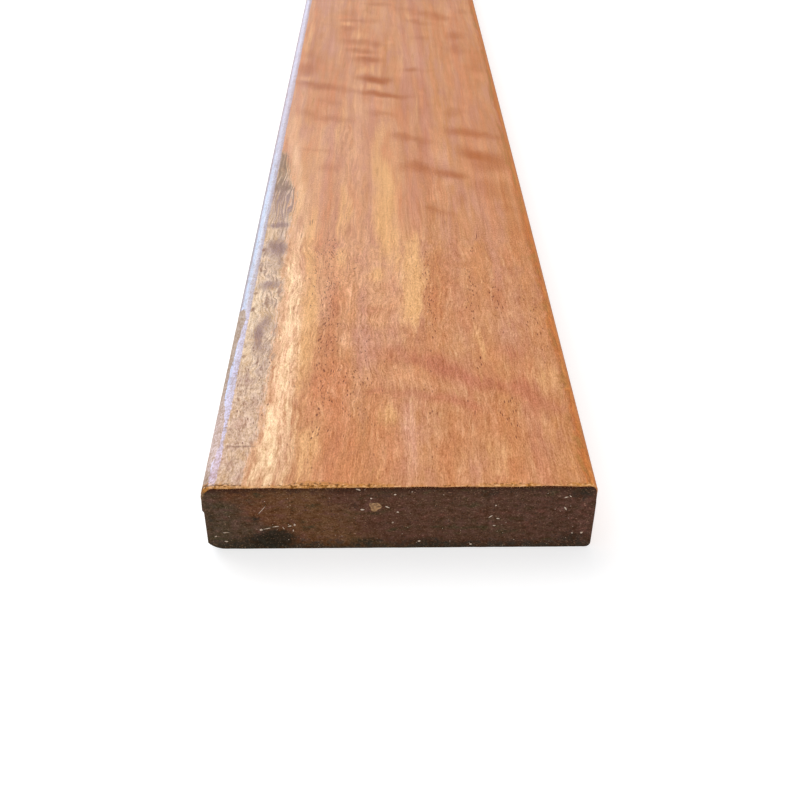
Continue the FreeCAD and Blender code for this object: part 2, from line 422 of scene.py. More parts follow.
# Black-green stains on the cut end. Here "along" is the height above the underside.
END_STAINS = marks(
    (-28.6, 3.2, 9.5, 6.0, 0, 1.2), (-43.5, 10, 3, 14, 0, 0.5), (-35, 2.0, 16, 5, 0, 0.6),
    (-33.2, 9.2, 3, 2.4, 0, 0.8), (-7, 1.8, 9, 3.6, 0, 0.7), (7, 1.5, 13, 4, 0, 0.6),
    (20.5, 16.5, 5, 3, 0, 0.6), (42, 16.5, 6, 5, 0, 0.7), (40, 3, 9, 5, 0, 0.6),
    (-10.3, 13, 2, 1.6, 0, 0.6), (-3, 16.5, 10, 3, 0, 0.4),
)

# Small dark marks with a hard edge: a cross crack in the sapwood and picked-out grain.
CHECKS = marks(
    (-37, 14.8, 9, 0.9, 0, 0.8), (-40.6, 77, 2.0, 3.0, 0, 1.0), (-40.6, 86, 1.8, 2.4, 0, 1.0),
    (-40.6, 53, 1.8, 2.4, 0, 1.0), (-40.6, 58, 1.6, 2.0, 0, 0.8), (-40.6, 113, 1.8, 3, 0, 0.9),
    (-40.6, 104, 1.6, 2, 0, 0.7),
)

# Mossy, scorched stretches of the arris over the cut end. Each lies at 0 along.
RIM_WEAR = marks(
    (-41, 0, 13, 9, 0, 0.9), (-44.6, 0, 3.4, 6, 0, 1.2), (-19, 0, 20, 9, 0, 1.0), (-5, 0, 8, 6, 0, 0.6),
    (24, 0, 15, 7, 0, 0.7), (41, 0, 8, 7, 0, 0.5),
)

# The lilac stripe on the left round, where burnished wood carries a painted reflection of the blue window:
# distance from the photographed end, and where it stops, as -x.
STRIPE = (
    (0, 43.2), (8, 43.2), (15, 42.2), (26, 42.3), (35, 43.5), (50, 43.4), (60, 42.9), (72, 42.3), (77, 42.6),
    (79, 46.0), (1800, 46.0),
)


@dataclass(frozen=True)
class GrainMap:
    """Where each kind of wood lies on the board. Every method takes whole arrays of places."""

    thickness: float
    shown: float = 400.0
    seed: int = 7

    def wander(self, across: Array, along: Array) -> tuple[Array, Array]:
        """Shift places by up to 0.9 mm sideways and 1.3 mm along, so that no patch is a plain oval.

        Args:
            across: x of each place.
            along: distance of each place from the photographed end.

        Returns:
            The shifted places: each coordinate plus smooth noise.
        """
        side = lattice_noise(self.seed, across / 7, along / 16)
        up = lattice_noise(self.seed + 1, across / 4, along / 9)
        return across + 0.9 * side, along + 1.3 * up

    def sapwood(self, across: Array, along: Array, depth: Array) -> Array:
        """Millimetres inside the sapwood, whose side leans outwards by a quarter of the depth."""
        places, edge = np.array(SAPWOOD_EDGE).T
        return np.interp(along, places, edge) - across - 0.25 * depth

    def cream(self, across: Array, along: Array) -> Array:
        """Weigh the pale band right of the sapwood.

        Args:
            across: x of each place.
            along: distance of each place from the photographed end.

        Returns:
            Strength × exp(-r^2.6), where r is 1 at the band's half width.
        """
        places, middle, half, strength = (np.array(column) for column in zip(*CREAM_BAND))
        share = np.abs(across - np.interp(along, places, middle)) / np.interp(along, places, half)
        return np.interp(along, places, strength) * np.exp(-(share**2.6))

    def light(self, across: Array, along: Array) -> Array:
        """Weigh the lighter, tanner wood left of a line that runs from x = 9.6 at 120 mm to 3.4 at 190 mm.

        Args:
            across: x of each place.
            along: distance of each place from the photographed end.

        Returns:
            The eased side of the line, faded in from 52 to 105 mm, plus a quarter from 200 to 300 mm, which
            is painted sheen that pales the far stretch, plus the patches of LIGHTS.
        """
        line = 9.6 - 6.2 * ease(along, 120, 190) - 5.0 * ease(along, 200, 300)
        left = 1 - ease(across - line, -1.6, 1.0)
        near = left * ease(along, 52, 105) * (1 - 0.55 * ease(along, 210, 275))
        # The quarter from 200 to 300 mm is painted sheen: the far stretch made paler.
        return near + 0.25 * ease(along, 200, 300) + sum_of(LIGHTS, across, along)

    def streaks(self, across: Array, along: Array, cell: float, seed: int) -> Array:
        """Long soft streaks: lattice noise with cells forty times as long as they are wide."""
        return lattice_noise(self.seed + seed, across / cell, along / (40 * cell))

    def far_gold(self, across: Array, along: Array) -> Array:
        """Golden streaks past the photographed stretch, from long noise above a threshold."""
        value = self.streaks(across, along, 5.0, 11) + 0.4 * self.streaks(across, along, 2.1, 12)
        return ease(along, self.shown, self.shown + 60) * ease(value, 0.25, 0.9)

    def ripple(self, across: Array, along: Array) -> Array:
        """Weigh the fiddleback ripple: quiet near the cut end, in patches further along.

        Args:
            across: x of each place.
            along: distance of each place from the photographed end.

        Returns:
            A rise over 150 to 260 mm, plus noise in patches of 30 by 150 mm past the photographed stretch.
        """
        patches = 0.5 + 0.5 * lattice_noise(self.seed + 21, across / 30, along / 150)
        near = 0.05 + 0.10 * ease(along, 150, 260)
        return near + 0.45 * patches * ease(along, self.shown, self.shown + 80)

    def border(self, across: Array, depth: Array) -> Array:
        """The darker strip along the right arris, from 4 mm inside it to the edge."""
        return ease(across, 40.4, 43.4) * (1 - 0.4 * ease(depth, 2, 5))

    def rounded(self, across: Array, along: Array, depth: Array) -> Array:
        """1 on the left round, and 0 on the face and on the lower part of the edge."""
        inner = 41.4 + 0.5 * (1 - ease(along, 3, 14))
        return ease(-across - inner, -0.5, 0.5) * (1 - ease(depth, 4.0, 6.5))

    def burnish_and_painted_sheen(self, across: Array, along: Array, depth: Array) -> Array:
        """Weigh the left round where it is burnished and carries a painted reflection of the blue window: all
        of it past 77 mm, a stripe before.

        Args:
            across: x of each place.
            along: distance of each place from the photographed end.
            depth: distance of each place below the face.

        Returns:
            rounded(), cut off where -x passes the STRIPE's limit, which wavers by 0.2 mm.
        """
        places, limit = np.array(STRIPE).T
        limit = np.interp(along, places, limit) + 0.2 * lattice_noise(self.seed + 31, 0 * along, along / 2.2)
        return self.rounded(across, along, depth) * (1 - ease(-across - limit, -0.4, 0.4))

    def tone(self, across: Array, along: Array) -> Array:
        """Weigh the long ochre streaks, and the rosy ones where the weight is below 0.

        Args:
            across: x of each place.
            along: distance of each place from the photographed end.

        Returns:
            Streaks of two widths, nearly twice as strong from 130 mm to the end of the photographed stretch.
        """
        both = 0.55 * self.streaks(across, along, 6.5, 3) + 0.45 * self.streaks(across, along, 2.6, 4)
        return both * (1 + 0.8 * ease(along, 85, 130) * (1 - ease(along, self.shown, self.shown + 60)))

    def masks(self, across: Array, along: Array, depth: Array) -> dict[str, Array]:
        """Work out every mask that the finishes read.

        Args:
            across: x of each vertex, in millimetres from the middle.
            along: distance from the photographed end.
            depth: distance below the face.

        Returns:
            The attribute's name and its value at each vertex.
        """
        x, y = self.wander(across, along)
        on_face = 1 - ease(depth, 4, 12)
        return {
            "sapwood": self.sapwood(across, along, depth),
            "cream": self.cream(across, along) * on_face,
            "gold": sum_of(GOLD, x, y) * on_face + self.far_gold(across, along),
            "figure": sum_of(BARS, x, y) * on_face,
            "ripple": self.ripple(across, along),
            "curl": sum_of(CURLS, x, y),
            "stain": sum_of(STAINS, x, y),
            "pores": 0.12 + sum_of(PORE_LINES, across, y) + 0.2 * self.streaks(across, along, 3.0, 5),
            "rim": sum_of(RIM_WEAR, across, along),
            "checks": sum_of(CHECKS, across, along) * on_face,
            "tone": self.tone(x, y),
            "light": self.light(x, y) * on_face,
            "warm": sum_of(WARMTH, x, y) * on_face,
            "blot": sum_of(END_STAINS, across, self.thickness - depth),
            "below_face": depth,
            "border": self.border(across, depth),
            "burnish_and_painted_sheen": self.burnish_and_painted_sheen(across, along, depth),
            "rounded": self.rounded(across, along, depth),
        }


@dataclass(frozen=True)
class BoardSurface:
    """The whole board as one closed mesh: the planed section run along the grain, with a cap on each end."""

    section: Section
    grain: GrainMap
    length: float
    recess: float = 0.22
    cap_rings: int = 12
    row_steps: tuple[tuple[float, float], ...] = (
        (6, 0.5), (200, 1.1), (400, 1.7), (1760, 9.0), (1794, 3.0), (1800, 0.6),
    )

    def rows(self) -> Array:
        """Space out the section's copies, closest where the photo looks.

        Returns:
            Their distances from the photographed end: even steps up to each limit of row_steps.
        """
        rows, start = [np.zeros(1)], 0.0
        for until, step in self.row_steps:
            until = until * self.length / self.row_steps[-1][0]
            rows.append(np.linspace(start, until, math.ceil((until - start) / step) + 1)[1:])
            start = until
        return np.concatenate(rows)

    def ragged(self, walk: Array, seed: int) -> Array:
        """Tear a cut arris back.

        Args:
            walk: distance of each point round the outline.
            seed: which noise.

        Returns:
            How far each point is torn back, from 0.02 to 0.26 mm: noise of two sizes.
        """
        coarse = lattice_noise(seed, walk / 3.1, np.zeros_like(walk))
        fine = lattice_noise(seed + 1, walk / 1.1, np.zeros_like(walk))
        return 0.12 + 0.09 * coarse + 0.05 * fine

    def blunt(self, points: Array) -> Array:
        """Wear the photographed arris down.

        Args:
            points: the outline, as (x, z).

        Returns:
            The wear of each point: 0.1 to 0.7 mm by the face, more where RIM_WEAR is, and 0 below it.
        """
        across = points[:, 0]
        wear = sum_of(RIM_WEAR, across, 0 * across)
        noise = lattice_noise(45, across / 1.7, 0 * across)
        return np.clip(0.2 + 0.2 * wear + 0.1 * noise, 0.08, 0.7) * ease(points[:, 1], 13.5, 17)

    def wear(self, points: Array, along: Array) -> Array:
        """Give the planed surface its own relief.

        Args:
            points: the outline, as (x, z).
            along: distances of the rows.

        Returns:
            Depth at each row and point: 0.02 mm of slow waviness from the planer, and picked-out pits up to
            0.12 mm deep on the left round near the cut end, where the noise passes a threshold.
        """
        ring = np.arange(len(points))[None, :]
        along = along[:, None] + 0 * ring
        wave = 0.01 + 0.01 * lattice_noise(31, ring / 9.0 + 0 * along, along / 60)
        noise = lattice_noise(32, ring / 1.3 + 0 * along, along / 1.8)
        on_round = (points[:, 0] < -41.5) & (points[:, 1] > 14)
        pits = 0.12 * ease(noise, 0.35, 0.9) * on_round * (1 - 0.8 * ease(along, 60, 95))
        return wave + pits

    def sides(self) -> Array:
        """Run the section along the grain.

        Returns:
            Vertices of the planed sides, as rows by ring points by 3: the outline moved in by its wear, with
            both cut arrises torn back.
        """
        points, _ = self.section.outline()
        rows = self.rows()
        inward = -self.section.outward(points)
        depth = self.wear(points, rows)[:, :, None]
        depth[0, :, 0] += self.blunt(points)
        flat = points[None, :, :] + inward[None, :, :] * depth
        along = np.repeat(rows[:, None], len(points), axis=1)
        walk = np.cumsum(np.linalg.norm(points - np.roll(points, 1, axis=0), axis=1))
        share = 0.3 + 0.7 * ease(points[:, 1], 3, 12)
        along[0] += share * self.ragged(walk, 41)
        along[-1] -= share * self.ragged(walk, 43)
        return np.dstack([flat[:, :, 0], along, flat[:, :, 1]])

    def cap(self, rim: Array, inward: float, seed: int) -> Array:
        """Make the vertices of a cut end, inside its rim.

        Ring k is the outline drawn in towards the section's middle line by the share (k / rings)^0.8. The
        middle line's point is shared by a face column and the back column under it. The end's own relief is
        the recess, with 0.1 mm of noise.

        Args:
            rim: the ring of vertices that the cap joins.
            inward: 1 if inwards is +Y, and -1 if it is -Y.
            seed: which noise.

        Returns:
            The rings between the rim and the middle line, then the middle line.
        """
        face = np.arange(self.section.columns + 1)
        back = self.back_of(face)
        middle = np.array([0.5 * (rim[face, 0] + rim[back, 0]), 0 * face + self.section.thickness / 2]).T
        middle[:, 0] *= 1 - 0.5 * self.section.thickness / self.section.half_width
        target = middle[self.middle_of(len(rim))]
        share = ((np.arange(1, self.cap_rings) / self.cap_rings) ** 0.8)[:, None, None]
        flat = rim[None][:, :, [0, 2]] * (1 - share) + target[None] * share
        inside = np.vstack([flat.reshape(-1, 2), middle])
        relief = self.recess + 0.05 * lattice_noise(seed, inside[:, 0] / 1.6, inside[:, 1] / 1.1)
        relief += 0.03 * lattice_noise(seed + 1, inside[:, 0] / 7, inside[:, 1] / 3)
        end = 0.0 if inward > 0 else self.length
        return np.c_[inside[:, 0], end + inward * relief, inside[:, 1]]

    def back_of(self, column: Array) -> Array:
        """Ring point under the board that lies below a face column."""
        _, names = self.section.outline()
        return int(np.argmax(names == Strip.BACK.value)) - 1 + self.section.columns - column

    def middle_of(self, count: int) -> Array:
        """Choose the middle-line point that each ring point is drawn in to.

        Args:
            count: how many points the ring has.

        Returns:
            The column itself on the face and under it, the last one on the right edge and 0 on the left.
        """
        columns = self.section.columns
        ring = np.arange(count)
        first_back = self.back_of(np.array([columns]))[0]
        target = np.where(ring <= columns, ring, np.clip(self.back_of(ring), 0, columns))
        target = np.where((ring > columns) & (ring < first_back), columns, target)
        return np.where(ring > first_back + columns, 0, target)

    def cap_faces(self, rim: Array, inner: Array, flip: bool) -> tuple[Array, Array]:
        """Join a cut end's vertices.

        Args:
            rim: vertex numbers of the rim.
            inner: vertex numbers of the cap's own vertices, in cap()'s order.
            flip: True if the faces wind the other way.

        Returns:
            Quads, and the triangles where several ring points share one middle point.
        """
        count = len(rim)
        own = (self.cap_rings - 1) * count
        rings = np.vstack([rim[None], inner[:own].reshape(-1, count)])
        middle = inner[own:][self.middle_of(count)]
        after = np.roll(np.arange(count), -1)
        outer, inside = rings[:-1], rings[1:]
        quads = np.stack([outer, inside, inside[:, after], outer[:, after]], -1).reshape(-1, 4)
        last = np.stack([rings[-1], middle, middle[after], rings[-1][after]], -1)
        shared = middle == middle[after]
        quads = np.vstack([quads, last[~shared]])
        triangles = last[shared][:, [0, 1, 3]]
        return (quads[:, ::-1], triangles[:, ::-1]) if flip else (quads, triangles)

    def surface(self) -> tuple[Surface, int]:
        """Join the sides and the two caps.

        Returns:
            The closed mesh, and how many of its vertices are on the planed sides.
        """
        sides = self.sides()
        rows, count = sides.shape[:2]
        number = np.arange(rows * count).reshape(rows, count)
        after = np.roll(number, -1, axis=1)
        walls = np.stack([number[:-1], after[:-1], after[1:], number[1:]], -1).reshape(-1, 4)
        near, far = self.cap(sides[0], 1, 51), self.cap(sides[-1], -1, 53)
        near_number = rows * count + np.arange(len(near))
        far_number = near_number[-1] + 1 + np.arange(len(far))
        near_faces = self.cap_faces(number[0], near_number, False)
        far_faces = self.cap_faces(number[-1], far_number, True)
        vertices = np.vstack([sides.reshape(-1, 3), near, far])
        vertices[:, 1] -= self.length / 2
        quads = np.vstack([walls, near_faces[0], far_faces[0]])
        triangles = np.vstack([near_faces[1], far_faces[1]])
        return Surface(vertices, quads, triangles), rows * count

    def build(self) -> bpy.types.Object:
        """Make the board's object, with its masks, slots and sharp edges.

        Returns:
            The object, which takes the place of the CAD solid.
        """
        surface, planed = self.surface()
        piece = surface.to_object("planed_board", smooth=True)
        mesh = piece.data
        across, along, height = (surface.vertices + (0.0, self.length / 2, 0.0)).T
        masks = self.grain.masks(across, along, self.section.thickness - height)
        for name, values in masks.items():
            mesh.attributes.new(name, "FLOAT", "POINT").data.foreach_set("value", values.astype(np.float32))
        first_corners = np.empty(len(mesh.polygons), np.int32)
        mesh.polygons.foreach_get("loop_start", first_corners)
        corners = np.empty(len(mesh.loops), np.int32)
        mesh.loops.foreach_get("vertex_index", corners)
        all_planed = np.maximum.reduceat(corners, first_corners) < planed
        finish = np.where(all_planed, Finish.PLANED.value, Finish.CUT_END.value).astype(np.int32)
        mesh.polygons.foreach_set("material_index", finish)
        self.mark_sharp(mesh)
        mesh.validate()
        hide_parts(NODE)
        return piece

    def mark_sharp(self, mesh: bpy.types.Mesh) -> None:
        """Mark the cut arrises and the shoulder's corners as sharp edges.

        Args:
            mesh: the board's mesh, whose first vertices are rows of the ring in order.
        """
        points, names = self.section.outline()
        count, rows = len(points), len(self.rows())
        pairs = np.empty(len(mesh.edges) * 2, np.int32)
        mesh.edges.foreach_get("vertices", pairs)
        row, ring = np.divmod(pairs.reshape(-1, 2), count)
        in_rim = ((row == 0) | (row == rows - 1)).all(1) & (row[:, 0] == row[:, 1])
        ends = [np.flatnonzero(names == strip.value)[-1] for strip in (Strip.BACK_LEFT_EASE, Strip.LEFT_EDGE)]
        step = np.flatnonzero(names == Strip.SHOULDER.value)[0]
        on_corner = np.isin(ring, [*ends, step]).all(1) & (ring[:, 0] == ring[:, 1]) & (row < rows).all(1)
        mesh.attributes.new("sharp_edge", "BOOLEAN", "EDGE").data.foreach_set("value", in_rim | on_corner)


@dataclass(frozen=True)
class TornFibres:
    """Slivers of torn fibre along the upper cut arris, each a thin three-sided spike."""

    section: Section
    length: float
    count: int = 800
    seed: int = 61

    def face_at(self, across: Array) -> Array:
        """Find the height of the face.

        Args:
            across: x of each place.

        Returns:
            The thickness, less the drop r - √(r² - s²) of each pencil round at s millimetres into it.
        """
        half, left, right = self.section.half_width, self.section.left_round, self.section.right_round
        into_left = np.clip(left - half - across, 0, left)
        into_right = np.clip(across - half + right, 0, right)
        drop_left = left - np.sqrt(np.clip(left**2 - into_left**2, 0, None))
        drop_right = right - np.sqrt(np.clip(right**2 - into_right**2, 0, None))
        return self.section.thickness - drop_left - drop_right

    def surface(self) -> Surface:
        """Make a spike for each fibre: three points round its root, and its tip.

        The root lies up to 0.3 mm behind the arris and 0.15 to 0.5 mm below the face. The tip is up to 0.6 mm
        away, mostly outwards and a little down. No point leaves the board's box.

        Returns:
            The spikes, as triangles.
        """
        rng = np.random.default_rng(self.seed)
        reach_across = self.section.half_width - 0.4
        across = rng.uniform(-reach_across, reach_across, self.count)
        behind = rng.uniform(0.0, 0.3, self.count)
        root = np.c_[across, behind, self.face_at(across) - rng.uniform(0.15, 0.5, self.count)]
        reach = rng.uniform(0.15, 0.6, self.count) * rng.uniform(0.4, 1.0, self.count)
        lean = rng.normal(0, 0.35, self.count)
        fall = rng.uniform(0.1, 1.1, self.count)
        heading = np.c_[np.sin(lean), -np.cos(lean) * np.cos(fall), -np.sin(fall)]
        tip = root + heading * reach[:, None]
        girth = rng.uniform(0.035, 0.085, self.count)
        turn = rng.uniform(0, 2 * np.pi, self.count)[:, None] + np.radians([0, 120, 240])[None]
        ring = root[:, None] + girth[:, None, None] * np.dstack([np.cos(turn), 0 * turn, np.sin(turn)])
        vertices = np.concatenate([ring, tip[:, None]], axis=1).reshape(-1, 3)
        vertices[:, 1] = np.maximum(vertices[:, 1], 0.0) - self.length / 2
        vertices[:, 2] = np.minimum(vertices[:, 2], self.section.thickness)
        first = 4 * np.arange(self.count)[:, None, None]
        faces = np.array([[0, 1, 3], [1, 2, 3], [2, 0, 3], [0, 2, 1]])
        return Surface(vertices, np.empty((0, 4), int), (first + faces[None]).reshape(-1, 3))

    def build(self) -> bpy.types.Object:
        """Make the fibres' object."""
        return self.surface().to_object("torn_fibres")


# The crumbs and scratches that stand out on the cut end: x, height, length, width and turn in degrees.
CRUMBS = (
    (-40.3, 5.1, 1.7, 0.32, 4), (-42.7, 3.9, 0.8, 0.35, 20), (-40.4, 2.3, 0.9, 0.35, -10),
    (-32.0, 5.9, 0.9, 0.7, 40), (-30.6, 6.3, 2.0, 0.22, 12), (-28.6, 6.9, 2.1, 0.22, 10),
    (-26.8, 6.4, 1.0, 0.28, -60), (-25.4, 7.0, 0.9, 0.45, 20), (-24.2, 7.4, 0.8, 0.55, 80),
    (-24.6, 5.6, 0.9, 0.3, 85), (-31.3, 12.2, 3.4, 0.16, 53), (-8.5, 12.0, 1.0, 0.5, 4),
    (-6.4, 15.4, 0.6, 0.4, -10), (-2.7, 12.7, 1.5, 0.3, -28), (-1.0, 16.5, 0.7, 0.4, 10),
    (-0.4, 11.2, 0.7, 0.45, 0), (-1.5, 8.0, 0.55, 0.4, 30), (-9.3, 18.1, 1.3, 0.4, -25),
    (4.7, 2.0, 0.9, 0.55, 0), (16.8, 0.9, 0.7, 0.4, 0), (21.0, 9.6, 1.3, 0.25, 40),
    (22.8, 9.0, 0.8, 0.45, -10), (22.0, 6.8, 0.7, 0.3, 0), (22.1, 13.0, 0.5, 0.35, 60),
    (38.1, 12.0, 1.4, 0.45, -62), (38.0, 15.4, 1.3, 0.3, 18), (38.9, 15.7, 0.9, 0.25, -35),
    (40.4, 4.3, 0.5, 0.35, 0), (42.6, 4.4, 0.8, 0.6, 20),
)


@dataclass(frozen=True)
class EndCrumbs:
    """Pale sawdust caught in the cut end: the crumbs above, and a scatter of smaller ones."""

    section: Section
    length: float
    recess: float
    scattered: int = 45
    corners: int = 8
    seat: float = 0.7
    seed: int = 71

    def places(self) -> Array:
        """Place the crumbs.

        Returns:
            x, height, half length, half width and turn of every crumb, one row each.
        """
        rng = np.random.default_rng(self.seed)
        named = np.array(CRUMBS) * (1, 1, 0.5, 0.5, math.pi / 180)
        few = np.c_[
            rng.uniform(-self.section.half_width + 2, self.section.half_width - 1.5, self.scattered),
            rng.uniform(1.2, self.section.thickness - 0.8, self.scattered),
            rng.uniform(0.07, 0.17, self.scattered),
            rng.uniform(0.05, 0.09, self.scattered),
            rng.uniform(-1.6, 1.6, self.scattered),
        ]
        return np.vstack([named, few])

    def surface(self) -> Surface:
        """Make a flat lump for each crumb.

        Its rim is an ellipse's points, each with a radius of its own. One point lies under its middle, in the
        wood, and one stands out of it by up to the end's recess.

        Returns:
            The lumps, as triangles.
        """
        rng = np.random.default_rng(self.seed + 1)
        across, height, long, wide, turn = self.places().T[:, :, None]
        round_it = np.linspace(0, 2 * np.pi, self.corners, endpoint=False)[None]
        radius = rng.uniform(0.7, 1.15, (len(across), self.corners))
        u, v = long * radius * np.cos(round_it), wide * radius * np.sin(round_it)
        x, z = across + u * np.cos(turn) - v * np.sin(turn), height + u * np.sin(turn) + v * np.cos(turn)
        rim = np.dstack([x, 0 * x + self.recess * self.seat, z])
        stand = np.clip(wide * 0.8, 0.05, self.recess - 0.02)
        top = np.dstack([across, (self.recess - stand) * self.seat, height])
        root = np.dstack([across, 0 * across + self.recess + 0.25, height])
        vertices = np.concatenate([rim, top, root], axis=1)
        vertices[:, :, 1] -= self.length / 2
        step = np.arange(self.corners)
        after = np.roll(step, -1)
        faces = np.vstack([
            np.c_[step, after, np.full(self.corners, self.corners)],
            np.c_[after, step, np.full(self.corners, self.corners + 1)],
        ])
        first = (vertices.shape[1] * np.arange(len(across)))[:, None, None]
        return Surface(vertices.reshape(-1, 3), np.empty((0, 4), int), (first + faces[None]).reshape(-1, 3))

    def build(self) -> bpy.types.Object:
        """Make the crumbs' object."""
        return self.surface().to_object("end_crumbs")


@dataclass(frozen=True)
class ResinSpot:
    """A dried spot of resin on the cut end: a low dome with an uneven rim."""

    length: float
    recess: float
    across: float = -5.6
    height: float = 12.6
    half_width: float = 1.45
    half_height: float = 1.6
    rings: int = 8
    around: int = 28
    seed: int = 81

    def surface(self) -> Surface:
        """Make the dome.

        At share r of the radius, it stands out by (1 - r²) of 0.16 mm, with 0.04 mm of noise. The radius
        wobbles in three and in five waves round it.

        Returns:
            The dome, closed by a point in the wood behind it.
        """
        turn = np.linspace(0, 2 * np.pi, self.around, endpoint=False)[None]
        share = np.linspace(0, 1, self.rings + 1)[1:, None]
        wobble = 1 + 0.16 * np.sin(3 * turn + 0.7) + 0.09 * np.sin(5 * turn + 2.1)
        x = self.across + self.half_width * share * wobble * np.cos(turn)
        z = self.height + self.half_height * share * wobble * np.sin(turn)
        noise = lattice_noise(self.seed, x / 0.5, z / 0.5)
        y = self.recess - (1 - share**2) * (0.16 + 0.04 * noise) + 0.04
        rings = np.dstack([x, y, z]).reshape(-1, 3)
        top = [[self.across, self.recess - 0.13, self.height]]
        root = [[self.across, self.recess + 0.2, self.height]]
        vertices = np.vstack([rings, top, root])
        vertices[:, 1] -= self.length / 2
        number = np.arange(self.rings * self.around).reshape(self.rings, self.around)
        after = np.roll(number, -1, axis=1)
        quads = np.stack([number[:-1], number[1:], after[1:], after[:-1]], -1).reshape(-1, 4)
        tip = np.full(self.around, len(rings))
        crown = np.c_[tip, number[0], after[0]]
        under = np.c_[tip + 1, after[-1], number[-1]]
        return Surface(vertices, quads, np.vstack([crown, under]))

    def build(self) -> bpy.types.Object:
        """Make the spot's object."""
        return self.surface().to_object("resin_spot", smooth=True)


class Value:
    """A number, place or colour in a node tree. Each operation on it adds nodes to the same tree."""

    def __init__(self, graph: "Graph", socket: Socket) -> None:
        """Keep the socket, and the graph that it belongs to."""
        self.graph, self.socket = graph, socket

    def __add__(self, other: "Value | float") -> "Value":
        """Sum."""
        return self.graph.math("ADD", self, other)

    def __sub__(self, other: "Value | float") -> "Value":
        """Difference."""
        return self.graph.math("SUBTRACT", self, other)

    def __mul__(self, other: "Value | float") -> "Value":
        """Product."""
        return self.graph.math("MULTIPLY", self, other)

    def at_least(self, other: "Value | float") -> "Value":
        """The larger of this and another."""
        return self.graph.math("MAXIMUM", self, other)

    def line(self, slope: "Value | float", start: "Value | float") -> "Value":
        """Start plus slope times this."""
        return self.graph.math("MULTIPLY_ADD", self, slope, start)

    def plus(self, *terms: tuple["Value", "Value | float"]) -> "Value":
        """Add weighted terms.

        Args:
            terms: each a value and its weight.

        Returns:
            This plus each term times its weight.
        """
        total = self
        for term, weight in terms:
            total = term.line(weight, total)
        return total

    def between(
        self, low: float, high: float, to_low: "Value | float" = 0.0, to_high: "Value | float" = 1.0
    ) -> "Value":
        """This eased from low to high into to_low to to_high, and held outside them."""
        inputs = {"Value": self, "From Min": low, "From Max": high, "To Min": to_low, "To Max": to_high}
        return self.graph.value("MapRange", inputs, "Result", interpolation_type="SMOOTHSTEP")

    def parts(self) -> list["Value"]:
        """x, y and z of a place."""
        node = self.graph.node("SeparateXYZ", {0: self})
        return [Value(self.graph, output) for output in node.outputs]

    def noise(self, size: object, detail: float = 2.0, rough: float = 0.5, output: str = "Fac") -> "Value":
        """Noise at this place, whose features are about as large as size, in millimetres along each axis."""
        inputs = {"Vector": self.graph.vector("DIVIDE", self, size), "Scale": 1.0, "Detail": detail}
        return self.graph.value("TexNoise", inputs | {"Roughness": rough}, output)

    def blend(self, first: object, second: object) -> "Value":
        """Colour that goes from the first where this is 0 to the second where it is 1."""
        inputs = {0: self, 6: first, 7: second}
        return self.graph.value("Mix", inputs, 2, data_type="RGBA", clamp_factor=True)

    def toward(self, colour: object, share: "Value") -> "Value":
        """This colour drawn towards another by a share."""
        return share.blend(self, colour)

    def tinted(self, value: "Value", rate: float, above: object, below: object) -> "Value":
        """This colour drawn towards one colour where the value is above 0, and another where it is below."""
        return self.toward(above, value * rate).toward(below, value * -rate)

    def shaded(self, amount: "Value") -> "Value":
        """Make this colour lighter and greyer, or darker where the amount is below 0.

        Args:
            amount: how much.

        Returns:
            Each channel times 1 + amount × (0.7, 1.0, 1.4).
        """
        rates = self.graph.combine(amount, amount, amount)
        factor = self.graph.vector("MULTIPLY_ADD", rates, (0.7, 1.0, 1.4), (1.0, 1.0, 1.0))
        return self.graph.vector("MULTIPLY", self, factor)


class Graph:
    """Short calls that add nodes to one node tree."""

    def __init__(self, tree: bpy.types.NodeTree) -> None:
        """Start on a tree, keeping the nodes that it has."""
        self.tree = tree

    def node(self, kind: str, inputs: dict | None = None, **settings: object) -> bpy.types.Node:
        """Add a node.

        Args:
            kind: Blender's name for it, without the ShaderNode in front.
            inputs: value for each input, by name or number.
            settings: the node's own properties.

        Returns:
            The node.
        """
        made = self.tree.nodes.new("ShaderNode" + kind)
        for name, value in settings.items():
            setattr(made, name, value)
        for name, value in (inputs or {}).items():
            self.feed(made.inputs[name], value)
        return made

    def feed(self, socket: Socket, value: object) -> None:
        """Set an input.

        Args:
            socket: the input.
            value: a Value to link to it, or a plain number, place or colour.
        """
        if isinstance(value, Value):
            self.tree.links.new(value.socket, socket)
        else:
            socket.default_value = value

    def value(
        self, kind: str, inputs: dict | None = None, output: int | str = 0, **settings: object
    ) -> Value:
        """One output of a new node, which node() makes."""
        return Value(self, self.node(kind, inputs, **settings).outputs[output])

    def math(self, operation: str, *terms: "Value | float") -> Value:
        """Result of a Math node."""
        return self.value("Math", dict(enumerate(terms)), operation=operation)

    def vector(self, operation: str, *terms: object) -> Value:
        """Result of a Vector Math node."""
        return self.value("VectorMath", dict(enumerate(terms)), operation=operation)

    def combine(self, x: Value, y: Value, z: Value) -> Value:
        """Place with the given x, y and z."""
        return self.value("CombineXYZ", {0: x, 1: y, 2: z})

    def mask(self, name: str) -> Value:
        """One of the board's masks, from GrainMap.masks()."""
        return self.value("Attribute", output="Fac", attribute_name=name)

    def place(self, length: float) -> Value:
        """Place on the board in millimetres, with y measured from the photographed end."""
        metres = self.value("TexCoord", output="Object")
        return self.vector("MULTIPLY_ADD", metres, (1 / MM,) * 3, (0.0, length / 2, 0.0))

    def bump(self, height: Value, strength: float, distance: float) -> Value:
        """Normal of a relief, whose distance is in millimetres."""
        inputs = {"Strength": strength, "Distance": distance * MM, "Height": height}
        return self.value("Bump", inputs, "Normal")

    def group(self, tree: bpy.types.NodeTree, **inputs: object) -> list[Value]:
        """Place a node group.

        Args:
            tree: the group.
            inputs: its inputs by name, in small letters.

        Returns:
            Its outputs.
        """
        made = self.node("Group", node_tree=tree)
        for name, value in inputs.items():
            self.feed(made.inputs[name.capitalize()], value)
        return [Value(self, output) for output in made.outputs]


